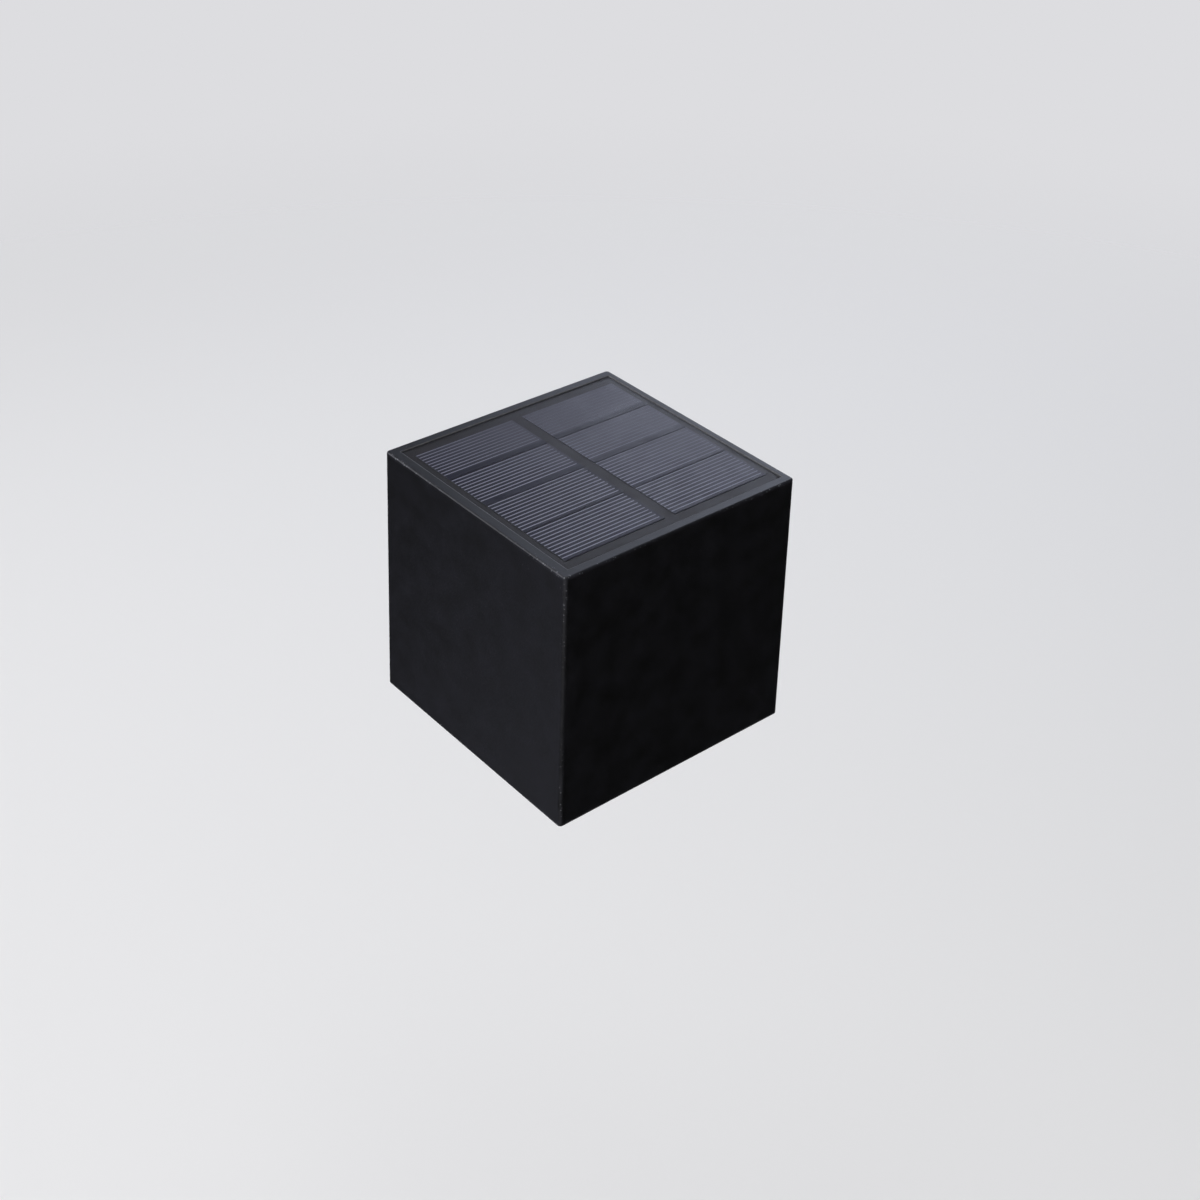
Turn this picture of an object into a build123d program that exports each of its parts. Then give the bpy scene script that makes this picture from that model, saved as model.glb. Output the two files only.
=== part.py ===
from build123d import *
import math
import os

# Solar wall light: a plain cube with a solar panel let into its top, hung on a wall bracket.
# Sizes are in millimetres. X runs to the right, Y towards the wall and Z up.
# The origin lies on the wall, at the cube's mid height, midway between the bracket's two screws.

# Cube
CUBE_W = 100.0  # left to right, at the top
CUBE_D = 100.0  # wall to front, at the top
CUBE_H = 100.0  # bottom edge to rim
SIDE_DRAFT = 1.25  # degrees that the left and right sides lean out towards the bottom
FRONT_DRAFT = 1.75  # degrees that the front leans out; the back stands upright
WALL = 2.4
WALL_GAP = 0.3  # the back of the housing stays this far off the wall
CORNER_R = 1.5  # upright edges
RIM_R = 0.7  # edges round the top
SKIRT_R = 0.4  # edges round the bottom
BLEND = 0.2  # how far one moulded feature runs into the wall that carries it

# Solar panel in the top recess, from the rim down
RIM = 3.8  # left and right of the panel
RIM_FRONT = 4.1
RIM_BACK = 2.6
RIM_EDGE_R = 0.4  # inner edge of the rim
PANEL_GAP = 0.2
PANEL_DROP = 0.1
PANEL_CORNER_R = 0.6
RESIN_T = 0.5
CELL_T = 0.2
CELL_FIT = 0.05
PANEL_BOARD_T = 1.2
TAPE_T = 0.8
TAPE_W = 7.0
TAPE_INSET = 1.0
DECK_T = 2.4
CELL_COLUMNS = 4
CELL_ROWS = 2
CELL_MARGIN_X = 4.5
CELL_MARGIN_Y = 2.4
CELL_GAP = 0.5
ROW_GAP = 4.4

# Wall bracket, a dovetail plate that the housing's socket slides down over
BRACKET_W = 45.0  # its wide front
BRACKET_H = 56.0
BRACKET_T = 4.0
BRACKET_CORNER = 2.0
BRACKET_EDGE_R = 0.4
DOVETAIL_ANGLE = 30.0
DOVETAIL_CLEAR = 0.25
SOCKET_WALL = 2.2
WALL_SCREW_SPACING = 34.0
WALL_SCREW_HOLE_R = 2.25
WALL_SCREW_HEAD_R = 4.3

# Base plate, seal and corner screws
BASE_RECESS = 3.0  # skirt below the base plate
BASE_T = 3.2
BASE_CLEAR = 0.3
SEAL_T = 0.8
SEAL_CLEAR = 0.3
LEDGE_W = 2.2
LEDGE_T = 1.6
BOSS_W = 9.0
BOSS_H = 16.0
BASE_SCREW_R = 1.5
BASE_SCREW_L = 14.0
BASE_SCREW_HEAD_R = 2.9
BASE_SCREW_HEAD_T = 2.0
SCREW_SLIP = 0.2  # radial room in a clearance hole
SCREW_BITE = 0.05  # radial room where the thread cuts in
CROSS_W = 0.9
CROSS_L = 3.4
CROSS_DEPTH = 1.0
HEAD_R = 0.6  # rounding of a screw's head

# Opal lens in the base, with its seal and reflector
SIDE_STRIP = 13.1  # base plate left beside the lens opening
FRONT_STRIP = 6.4
LENS_R = 5.0
LENS_CLEAR = 0.3
LENS_T = 1.6
LENS_DROP = 1.4  # lens face below the base plate
LENS_EDGE_R = 0.7
FLANGE_W = 3.0
FLANGE_T = 1.6
REFLECTOR_T = 1.2
REFLECTOR_RAKE = 7.0

# Circuit board and what is soldered to it
BOARD_STANDOFF = 18.3  # base plate's top to the board's underside
BOARD_T = 1.6
BOARD_EDGE = 1.6
PILLAR_R = 3.0
BOARD_SCREW_R = 1.2
BOARD_SCREW_L = 8.0
BOARD_SCREW_HEAD_R = 2.4
BOARD_SCREW_HEAD_T = 1.5
LED_COLUMNS = 3
LED_ROWS = 2
LED_PITCH_X = 16.0
LED_PITCH_Y = 11.0
LED_W = 3.5
LED_L = 2.8
LED_T = 0.8
LED_ROOM = 1.0
CHIP_W = 5.0
CHIP_L = 4.0
CHIP_T = 1.5
CHIP_PINS = 4
CHIP_PIN_PITCH = 1.27
CHIP_PIN_W = 0.42
CHIP_PIN_L = 1.0
CHIP_PIN_T = 0.3
COIL_R = 4.0
COIL_H = 5.0
COIL_WAIST = 0.8
CAN_R = 3.15
CAN_H = 8.0
PART_PITCH = 18.0  # coil, chip and can stand this far apart
LEAD_SOCKET_W = 7.5
LEAD_SOCKET_L = 5.8
LEAD_SOCKET_H = 6.0
LEAD_SOCKET_X = 16.0
LEAD_SOCKET_EDGE = 4.6  # socket's middle to the board's rear edge

# Push button and its switch
BUTTON_R = 4.0
BUTTON_PROUD = 1.4
BUTTON_TRAVEL = 1.5
BUTTON_CLEAR = 0.3
BUTTON_DISH = 0.5
BUTTON_EDGE_R = 0.4
COLLAR_R = 5.3
COLLAR_T = 1.4
BUTTON_SEAL_R = 6.0
BUTTON_SEAL_CLEAR = 0.15
STEM_R = 2.9
PLUNGER_W = 3.0
PLUNGER_GRIP = 2.6  # how far the plunger stands in the stem
PLUNGER_CLEAR = 0.3
SWITCH_W = 8.5
SWITCH_H = 9.0
SWITCH_END_GAP = 0.4  # left between stem and switch when the button is down
FITTING_GAP = 0.6  # between neighbours on the base plate

# Battery, its bay and contacts
BATTERY_R = 7.1
BATTERY_L = 50.5  # over its nub
NUB_R = 2.75
NUB_L = 1.5
BAY_CLEAR = 0.5
BAY_LIFT = 0.3
BAY_WALL = 1.6
BAY_FLANGE_T = 1.8
BAY_FLANGE_LAP = 2.2
CONTACT_T = 0.4
CONTACT_W = 9.0
CONTACT_H = 10.0
SPRING_REACH = 5.0
DIMPLE_R = 2.4
DIMPLE_T = 0.8
TAB_W = 3.0
TAB_L = 3.2
TAB_DROP = 0.8  # tab below the top of its contact
TAB_CLEAR = 0.2

# Battery door, its hinge, seal and captive screw
DOOR_T = 2.2
DOOR_CLEAR = 0.3
DOOR_EDGE_R = 0.4
DOOR_SEAT = 2.4  # width of the lip that the door's seal closes on
DOOR_SEAL_W = 1.9
KNUCKLE_R = 1.3
KNUCKLE_L = 11.0
HINGE_CLEAR = 0.35
HINGE_LUG = 1.7  # hinge axis to the end of the base plate's lug
PIN_R = 0.65
PIN_FIT = 0.05
PIN_PRESS = 0.02
PIN_END = 4.0
PIN_INSET = 1.0
DOOR_SCREW_R = 1.5
DOOR_SCREW_REACH = 3.6  # above the base plate's top
DOOR_SCREW_CLEAR = 0.6
DOOR_SCREW_BOSS_R = 3.5
DOOR_SCREW_EDGE = 3.8  # screw to the end of the door

# Leads
LEAD_R = 0.6
LEAD_PITCH = 2.6
LEAD_HOLE_Y = -50.0
LEAD_FIT = 0.08
LEAD_BEND_Z = 23.0  # where the panel's leads turn off towards their socket
LEAD_MID_Z = 0.0
LEAD_ARCH = 9.0  # leads come down into their sockets from this high
LEAD_RISE = 13.0  # battery leads stand up this far from their tabs
LEAD_STEP = 6.5  # how far a lead moves over from one bend to the next
GROMMET_R = 3.6
GROMMET_FLANGE = 1.2
GROMMET_LIP = 0.6
GROMMET_FOOT = 1.0
GROMMET_FIT = 0.05

# Places that follow from the sizes above
TOP = CUBE_H / 2
BOTTOM = -CUBE_H / 2
SIDE_SLOPE = math.tan(math.radians(SIDE_DRAFT))
FRONT_SLOPE = math.tan(math.radians(FRONT_DRAFT))
# Inner faces of the walls, at the bottom edge
INNER_X = CUBE_W / 2 + CUBE_H * SIDE_SLOPE - WALL
INNER_FRONT = -CUBE_D - CUBE_H * FRONT_SLOPE + WALL
INNER_BACK = -WALL_GAP - WALL
PANEL_X = CUBE_W / 2 - RIM - PANEL_GAP
PANEL_FRONT = -CUBE_D + RIM_FRONT + PANEL_GAP
PANEL_BACK = -WALL_GAP - RIM_BACK - PANEL_GAP
PANEL_TOP = TOP - PANEL_DROP
RESIN_BOTTOM = PANEL_TOP - RESIN_T
PANEL_BOTTOM = RESIN_BOTTOM - PANEL_BOARD_T
DECK_TOP = PANEL_BOTTOM - TAPE_T
DECK_BOTTOM = DECK_TOP - DECK_T

FLARE = math.tan(math.radians(DOVETAIL_ANGLE))
SIDE_CLEAR = DOVETAIL_CLEAR / math.cos(math.radians(DOVETAIL_ANGLE))
SOCKET_FLOOR = -BRACKET_T - DOVETAIL_CLEAR
SOCKET_FRONT = SOCKET_FLOOR - SOCKET_WALL
SOCKET_X = BRACKET_W / 2 + SIDE_CLEAR + DOVETAIL_CLEAR * FLARE + SOCKET_WALL
SOCKET_TOP = BRACKET_H / 2

BASE_BOTTOM = BOTTOM + BASE_RECESS
BASE_TOP = BASE_BOTTOM + BASE_T
SEAT_Z = BASE_TOP + SEAL_T
SCREW_X = INNER_X - BOSS_W / 2
SCREW_FRONT = INNER_FRONT + BOSS_W / 2
SCREW_BACK = INNER_BACK - BOSS_W / 2
BASE_SCREWS = [(x, y) for x in (-SCREW_X, SCREW_X) for y in (SCREW_FRONT, SCREW_BACK)]

BAY_HALF = BATTERY_R + BAY_CLEAR
BAY_BACK = INNER_BACK - BOSS_W - FITTING_GAP - BAY_FLANGE_LAP - DOOR_SEAT
BAY_Y = BAY_BACK - BAY_HALF
BAY_FRONT = BAY_Y - BAY_HALF
DOOR_HOLE_BACK = BAY_BACK + DOOR_SEAT
DOOR_HOLE_FRONT = BAY_FRONT - DOOR_SEAT
BATTERY_Z = BASE_TOP + BAY_LIFT + BATTERY_R
BAY_ROOF = BATTERY_Z + BATTERY_R + BAY_CLEAR

BUTTON_Y = DOOR_HOLE_FRONT - BAY_FLANGE_LAP - FITTING_GAP - BUTTON_SEAL_R
LENS_X = INNER_X - SIDE_STRIP
LENS_FRONT = INNER_FRONT + FRONT_STRIP
LENS_BACK = BUTTON_Y - BUTTON_SEAL_R - FITTING_GAP - FLANGE_W
LENS_BOTTOM = BASE_BOTTOM - LENS_DROP
FLANGE_BOTTOM = BASE_TOP + SEAL_T
FLANGE_TOP = FLANGE_BOTTOM + FLANGE_T
LENS_MID_Y = (LENS_FRONT + LENS_BACK) / 2

BOARD_BOTTOM = BASE_TOP + BOARD_STANDOFF
BOARD_TOP = BOARD_BOTTOM + BOARD_T
BOARD_X = INNER_X - BOARD_EDGE
BOARD_FRONT = INNER_FRONT + BOSS_W + BOARD_EDGE
BOARD_BACK = BAY_FRONT - BAY_WALL - BOARD_EDGE
PILLAR_X = (LENS_X + FLANGE_W + INNER_X - LEDGE_W) / 2
PILLAR_FRONT = BOARD_FRONT + PILLAR_R + BOARD_EDGE
PILLARS = [(x, y) for x in (-PILLAR_X, PILLAR_X) for y in (PILLAR_FRONT, LENS_BACK)]
LED_PLACES = [
    ((column - (LED_COLUMNS - 1) / 2) * LED_PITCH_X, LENS_MID_Y + (row - (LED_ROWS - 1) / 2) * LED_PITCH_Y)
    for column in range(LED_COLUMNS)
    for row in range(LED_ROWS)
]
LEAD_SOCKET_Y = BOARD_BACK - LEAD_SOCKET_EDGE
LEAD_SOCKET_TOP = BOARD_TOP + LEAD_SOCKET_H

SWITCH_BOTTOM = BOARD_BOTTOM - SWITCH_H
COLLAR_BOTTOM = BASE_TOP + SEAL_T
STEM_TOP = SWITCH_BOTTOM - SWITCH_END_GAP - BUTTON_TRAVEL
PLUNGER_TOP = SWITCH_BOTTOM + PLUNGER_GRIP

HINGE_Z = (BASE_BOTTOM + BASE_TOP) / 2
DOOR_TOP = BASE_BOTTOM + DOOR_T
HINGE_SWING = BASE_T / 2 + HINGE_CLEAR
# The leaf starts where its upper corner passes below the base plate before it swings over the lug.
LEAF_START = math.sqrt((HINGE_LUG + HINGE_CLEAR) ** 2 + (BASE_T / 2) ** 2 - (DOOR_TOP - HINGE_Z) ** 2)
BAY_START = LEAF_START + DOOR_SEAT
BAY_LENGTH = SPRING_REACH + BATTERY_L + CONTACT_T + DIMPLE_T
SCREW_REACH = BAY_START + BAY_LENGTH + DOOR_SEAT + DOOR_SCREW_BOSS_R
LEAF_END = SCREW_REACH + DOOR_SCREW_EDGE
HINGE_X = (HINGE_SWING - LEAF_END - DOOR_CLEAR) / 2
BAY_LEFT = HINGE_X + BAY_START
BAY_RIGHT = BAY_LEFT + BAY_LENGTH
BATTERY_LEFT = BAY_LEFT + SPRING_REACH
BATTERY_RIGHT = BATTERY_LEFT + BATTERY_L
DOOR_SCREW_X = HINGE_X + SCREW_REACH
DOOR_RIGHT = HINGE_X + LEAF_END
DOOR_SCREW_TOP = BASE_TOP + DOOR_SCREW_REACH
PIN_BACK = INNER_BACK - BASE_CLEAR - PIN_INSET
PIN_FRONT = DOOR_HOLE_FRONT - PIN_END
TAB_TOP = BATTERY_Z + CONTACT_H / 2 - TAB_DROP


# Plain shapes


def block(x0, x1, y0, y1, z0, z1):
    """A box between two corners."""
    return Pos((x0 + x1) / 2, (y0 + y1) / 2, (z0 + z1) / 2) * Box(x1 - x0, y1 - y0, z1 - z0)


def post(x, y, z0, z1, radius):
    """An upright cylinder."""
    return Pos(x, y, (z0 + z1) / 2) * Cylinder(radius, z1 - z0)


def rod_x(x0, x1, y, z, radius):
    """A cylinder along X."""
    return Pos((x0 + x1) / 2, y, z) * Rot(0, 90, 0) * Cylinder(radius, x1 - x0)


def rod_y(x, y0, y1, z, radius):
    """A cylinder along Y."""
    return Pos(x, (y0 + y1) / 2, z) * Rot(90, 0, 0) * Cylinder(radius, y1 - y0)


def plan(x0, x1, y0, y1):
    """A rectangle seen from above."""
    return Pos((x0 + x1) / 2, (y0 + y1) / 2) * Rectangle(x1 - x0, y1 - y0)


def round_plan(x0, x1, y0, y1, radius):
    """A rectangle with round corners, seen from above."""
    return Pos((x0 + x1) / 2, (y0 + y1) / 2) * RectangleRounded(x1 - x0, y1 - y0, radius)


def slab(outline, z0, z1):
    """An outline seen from above, raised from z0 to z1."""
    return extrude(Pos(0, 0, z0) * outline, amount=z1 - z0)


def cavity_plan(inset):
    """The housing's inner outline drawn in by inset, with the notch that the bracket's socket takes."""
    x = INNER_X - inset
    notch_x = SOCKET_X + inset
    whole = plan(-x, x, INNER_FRONT + inset, INNER_BACK - inset)
    return whole - plan(-notch_x, notch_x, SOCKET_FRONT - inset, -inset)


def lens_plan(inset):
    """The lens opening drawn in by inset."""
    x = LENS_X - inset
    return round_plan(-x, x, LENS_FRONT + inset, LENS_BACK - inset, LENS_R - inset)


def panel_plan(inset):
    """The solar panel's outline drawn in by inset."""
    x = PANEL_X - inset
    return plan(-x, x, PANEL_FRONT + inset, PANEL_BACK - inset)


def screw(x, y, seat, tip, radius, head_radius, head_thick):
    """A cross-head screw whose head bears on seat and whose shank runs to tip, up or down."""
    head_side = math.copysign(1, seat - tip)
    head_end = seat + head_side * head_thick
    body = post(x, y, min(seat, head_end), max(seat, head_end), head_radius)
    body = fillet(body.edges().sort_by(Axis.Z)[-1 if head_side > 0 else 0], HEAD_R)
    body += post(x, y, min(seat, tip), max(seat, tip), radius)
    slot_mid = head_end - head_side * CROSS_DEPTH / 2
    for turn in (0, 90):
        body -= Pos(x, y, slot_mid) * Rot(0, 0, turn) * Box(CROSS_L, CROSS_W, CROSS_DEPTH)
    return body


# Wall bracket and housing


def dovetail_plan(y_front, y_back, clear):
    """A dovetail that widens away from the wall, with clear added along X on each side."""
    half_front = BRACKET_W / 2 + clear + (-y_front - BRACKET_T) * FLARE
    half_back = BRACKET_W / 2 + clear + (-y_back - BRACKET_T) * FLARE
    corners = [(-half_back, y_back), (half_back, y_back), (half_front, y_front), (-half_front, y_front)]
    return make_face(Polyline(*corners, close=True))


def wall_bracket():
    plate = slab(dovetail_plan(-BRACKET_T, 0, 0), -BRACKET_H / 2, BRACKET_H / 2)
    upper_edges = plate.edges().filter_by(Axis.Y, tolerance=45).group_by(Axis.Z)[-1]
    plate = chamfer(upper_edges, BRACKET_CORNER)
    plate = fillet(plate.faces().sort_by(Axis.Y)[0].edges(), BRACKET_EDGE_R)
    for z in (-WALL_SCREW_SPACING / 2, WALL_SCREW_SPACING / 2):
        plate -= rod_y(0, -BRACKET_T, 0, z, WALL_SCREW_HOLE_R)
        sink = WALL_SCREW_HEAD_R - WALL_SCREW_HOLE_R
        cone = Cone(WALL_SCREW_HOLE_R, WALL_SCREW_HEAD_R, sink)
        plate -= Pos(0, -BRACKET_T + sink / 2, z) * Rot(90, 0, 0) * cone
    return plate


def cube_outline(z, inset):
    """The cube's outline at one height, drawn in by inset: its sides and front lean out towards the bottom."""
    x = CUBE_W / 2 + (TOP - z) * SIDE_SLOPE - inset
    front = -CUBE_D - (TOP - z) * FRONT_SLOPE + inset
    return Pos(0, 0, z) * plan(-x, x, front, -WALL_GAP - inset)


def cube_block(z0, z1, inset):
    """The cube between two heights, drawn in by inset."""
    return loft([cube_outline(z0, inset), cube_outline(z1, inset)], ruled=True)


def housing():
    shell = cube_block(BOTTOM, TOP, 0)
    shell = fillet(shell.edges().group_by(Axis.Z)[1], CORNER_R)
    shell = fillet(shell.edges().group_by(Axis.Z)[-1], RIM_R)
    shell = fillet(shell.edges().group_by(Axis.Z)[0], SKIRT_R)
    shell -= cube_block(BOTTOM, DECK_BOTTOM, WALL)
    shell -= slab(panel_plan(-PANEL_GAP), DECK_TOP, TOP)
    rim = shell.faces().sort_by(Axis.Z)[-1]
    shell = fillet(rim.inner_wires()[0].edges(), RIM_EDGE_R)
    shell += slab(cavity_plan(-BLEND) - cavity_plan(LEDGE_W), SEAT_Z, SEAT_Z + LEDGE_T)
    for x, y in BASE_SCREWS:
        half = BOSS_W / 2
        side = math.copysign(BLEND, x)
        end = math.copysign(BLEND, y - LENS_MID_Y)
        boss = block(x - half, x + half, y - half, y + half, SEAT_Z, SEAT_Z + BOSS_H)
        shell += boss + Pos(side, end) * boss
        shell -= post(x, y, SEAT_Z, SEAT_Z + BOSS_H - WALL, BASE_SCREW_R + SCREW_BITE)
    shell += block(-SOCKET_X, SOCKET_X, SOCKET_FRONT, INNER_BACK + BLEND, BOTTOM, SOCKET_TOP + SOCKET_WALL)
    shell -= slab(dovetail_plan(SOCKET_FLOOR, WALL, SIDE_CLEAR), BOTTOM, SOCKET_TOP)
    shell -= post(0, LEAD_HOLE_Y, DECK_BOTTOM, DECK_TOP, GROMMET_R)
    return shell


# Solar panel


def cell_plans(grow):
    """Outlines of the solar cells, each grown by grow: columns side by side, rows front and back."""
    width = (2 * (PANEL_X - CELL_MARGIN_X) - (CELL_COLUMNS - 1) * CELL_GAP) / CELL_COLUMNS
    front = PANEL_FRONT + CELL_MARGIN_Y
    depth = (PANEL_BACK - CELL_MARGIN_Y - front - (CELL_ROWS - 1) * ROW_GAP) / CELL_ROWS
    outlines = []
    for column in range(CELL_COLUMNS):
        x = CELL_MARGIN_X - PANEL_X + column * (width + CELL_GAP)
        for row in range(CELL_ROWS):
            y = front + row * (depth + ROW_GAP)
            outlines.append(plan(x - grow, x + width + grow, y - grow, y + depth + grow))
    return outlines


def panel_resin():
    cover = slab(panel_plan(0), RESIN_BOTTOM, PANEL_TOP)
    cover = fillet(cover.edges().filter_by(Axis.Z), PANEL_CORNER_R)
    for outline in cell_plans(CELL_FIT):
        cover -= slab(outline, RESIN_BOTTOM, RESIN_BOTTOM + CELL_T)
    return cover


def solar_cells():
    return Part() + [slab(outline, RESIN_BOTTOM, RESIN_BOTTOM + CELL_T) for outline in cell_plans(0)]


def panel_board():
    board = slab(panel_plan(0), PANEL_BOTTOM, RESIN_BOTTOM)
    return fillet(board.edges().filter_by(Axis.Z), PANEL_CORNER_R)


def panel_tape():
    return slab(panel_plan(TAPE_INSET) - panel_plan(TAPE_INSET + TAPE_W), DECK_TOP, PANEL_BOTTOM)


def lead_grommet():
    neck = GROMMET_R - GROMMET_FIT
    rubber = post(0, LEAD_HOLE_Y, DECK_BOTTOM, DECK_TOP, neck)
    rubber += post(0, LEAD_HOLE_Y, DECK_TOP, DECK_TOP + GROMMET_LIP, neck + GROMMET_FLANGE)
    rubber += post(0, LEAD_HOLE_Y, DECK_BOTTOM - GROMMET_FOOT, DECK_BOTTOM, neck + GROMMET_FLANGE)
    for x in (-LEAD_PITCH / 2, LEAD_PITCH / 2):
        rubber -= post(x, LEAD_HOLE_Y, DECK_BOTTOM - GROMMET_FOOT, DECK_TOP + GROMMET_LIP, LEAD_R + LEAD_FIT)
    return rubber


# Base plate, its seal and screws


def base_plate():
    plate = slab(cavity_plan(BASE_CLEAR) - lens_plan(0), BASE_BOTTOM, BASE_TOP)
    for x, y in PILLARS:
        plate += post(x, y, BASE_TOP - BLEND, BOARD_BOTTOM, PILLAR_R)
        plate -= post(x, y, BASE_TOP, BOARD_BOTTOM, BOARD_SCREW_R + SCREW_BITE)
    for x, y in BASE_SCREWS:
        plate -= post(x, y, BASE_BOTTOM, BASE_TOP, BASE_SCREW_R + SCREW_SLIP)
    plate -= post(0, BUTTON_Y, BASE_BOTTOM, BASE_TOP, BUTTON_R + BUTTON_CLEAR)
    hole_left = HINGE_X + HINGE_LUG
    hole_right = DOOR_RIGHT + DOOR_CLEAR
    plate -= block(hole_left, hole_right, DOOR_HOLE_FRONT, DOOR_HOLE_BACK, BASE_BOTTOM, BASE_TOP)
    notch = KNUCKLE_L / 2 + DOOR_CLEAR
    plate -= block(HINGE_X - HINGE_SWING, hole_left, BAY_Y - notch, BAY_Y + notch, BASE_BOTTOM, BASE_TOP)
    plate -= rod_y(HINGE_X, PIN_FRONT, INNER_BACK, HINGE_Z, PIN_R + PIN_PRESS)
    return plate


def base_seal():
    ring = cavity_plan(SEAL_CLEAR) - cavity_plan(LEDGE_W)
    half = BOSS_W / 2
    for x, y in BASE_SCREWS:
        ring += plan(x - half, x + half, y - half, y + half) & cavity_plan(SEAL_CLEAR)
    for x, y in BASE_SCREWS:
        ring -= Pos(x, y) * Circle(BASE_SCREW_R + SCREW_SLIP)
    return slab(ring, BASE_TOP, SEAT_Z)


def base_screws():
    tip = BASE_BOTTOM + BASE_SCREW_L
    size = (BASE_SCREW_R, BASE_SCREW_HEAD_R, BASE_SCREW_HEAD_T)
    return Part() + [screw(x, y, BASE_BOTTOM, tip, *size) for x, y in BASE_SCREWS]


# Lens and reflector


def diffuser():
    lens = slab(lens_plan(LENS_CLEAR), LENS_BOTTOM, FLANGE_TOP)
    lens = fillet(lens.edges().group_by(Axis.Z)[0], LENS_EDGE_R)
    lens += slab(lens_plan(-FLANGE_W), FLANGE_BOTTOM, FLANGE_TOP)
    return lens - slab(lens_plan(LENS_CLEAR + LENS_T), LENS_BOTTOM + LENS_T, FLANGE_TOP)


def diffuser_seal():
    return slab(lens_plan(-FLANGE_W) - lens_plan(-SEAL_CLEAR), BASE_TOP, FLANGE_BOTTOM)


def reflector_cone(grow, z_top):
    """The reflector's raked hollow, grown by grow, from the lens flange up to z_top."""
    inset = LENS_CLEAR + LENS_T - grow
    wide = Pos(0, 0, FLANGE_TOP) * lens_plan(inset)
    return loft([wide, Pos(0, 0, z_top) * round_plan(
        -LENS_X + inset + REFLECTOR_RAKE,
        LENS_X - inset - REFLECTOR_RAKE,
        LENS_FRONT + inset + REFLECTOR_RAKE,
        LENS_BACK - inset - REFLECTOR_RAKE,
        LENS_R - inset,
    )])


def reflector():
    tray = reflector_cone(REFLECTOR_T, BOARD_BOTTOM) - reflector_cone(0, BOARD_BOTTOM - REFLECTOR_T)
    half_x = LED_W / 2 + LED_ROOM
    half_y = LED_L / 2 + LED_ROOM
    for x, y in LED_PLACES:
        tray -= block(x - half_x, x + half_x, y - half_y, y + half_y, BOARD_BOTTOM - REFLECTOR_T, BOARD_BOTTOM)
    return tray


# Circuit board


def circuit_board():
    board = slab(plan(-BOARD_X, BOARD_X, BOARD_FRONT, BOARD_BACK), BOARD_BOTTOM, BOARD_TOP)
    for x, y in PILLARS:
        board -= post(x, y, BOARD_BOTTOM, BOARD_TOP, BOARD_SCREW_R + SCREW_SLIP)
    return board


def board_screws():
    tip = BOARD_TOP - BOARD_SCREW_L
    size = (BOARD_SCREW_R, BOARD_SCREW_HEAD_R, BOARD_SCREW_HEAD_T)
    return Part() + [screw(x, y, BOARD_TOP, tip, *size) for x, y in PILLARS]


def leds():
    half_x = LED_W / 2
    half_y = LED_L / 2
    return Part() + [
        block(x - half_x, x + half_x, y - half_y, y + half_y, BOARD_BOTTOM - LED_T, BOARD_BOTTOM)
        for x, y in LED_PLACES
    ]


def driver_chip():
    half_x = CHIP_W / 2
    half_y = CHIP_L / 2
    chip = block(-half_x, half_x, LENS_MID_Y - half_y, LENS_MID_Y + half_y, BOARD_TOP, BOARD_TOP + CHIP_T)
    for pin in range(CHIP_PINS):
        x = (pin - (CHIP_PINS - 1) / 2) * CHIP_PIN_PITCH
        reach = half_y + CHIP_PIN_L
        chip += block(
            x - CHIP_PIN_W / 2,
            x + CHIP_PIN_W / 2,
            LENS_MID_Y - reach,
            LENS_MID_Y + reach,
            BOARD_TOP,
            BOARD_TOP + CHIP_PIN_T,
        )
    return chip


def inductor():
    third = COIL_H / 3
    coil = post(-PART_PITCH, LENS_MID_Y, BOARD_TOP, BOARD_TOP + third, COIL_R)
    coil += post(-PART_PITCH, LENS_MID_Y, BOARD_TOP + third, BOARD_TOP + 2 * third, COIL_R - COIL_WAIST)
    return coil + post(-PART_PITCH, LENS_MID_Y, BOARD_TOP + 2 * third, BOARD_TOP + COIL_H, COIL_R)


def capacitor():
    return post(PART_PITCH, LENS_MID_Y, BOARD_TOP, BOARD_TOP + CAN_H, CAN_R)


def lead_sockets():
    half_x = LEAD_SOCKET_W / 2
    half_y = LEAD_SOCKET_L / 2
    return Part() + [
        block(x - half_x, x + half_x, LEAD_SOCKET_Y - half_y, LEAD_SOCKET_Y + half_y, BOARD_TOP, LEAD_SOCKET_TOP)
        for x in (-LEAD_SOCKET_X, LEAD_SOCKET_X)
    ]


# Push button and switch


def power_switch():
    half = SWITCH_W / 2
    well = PLUNGER_W / 2 + PLUNGER_CLEAR
    body = block(-half, half, BUTTON_Y - half, BUTTON_Y + half, SWITCH_BOTTOM, BOARD_BOTTOM)
    well_top = PLUNGER_TOP + BUTTON_TRAVEL + SWITCH_END_GAP
    return body - block(-well, well, BUTTON_Y - well, BUTTON_Y + well, SWITCH_BOTTOM, well_top)


def switch_plunger():
    half = PLUNGER_W / 2
    return block(-half, half, BUTTON_Y - half, BUTTON_Y + half, STEM_TOP - PLUNGER_GRIP, PLUNGER_TOP)


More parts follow.
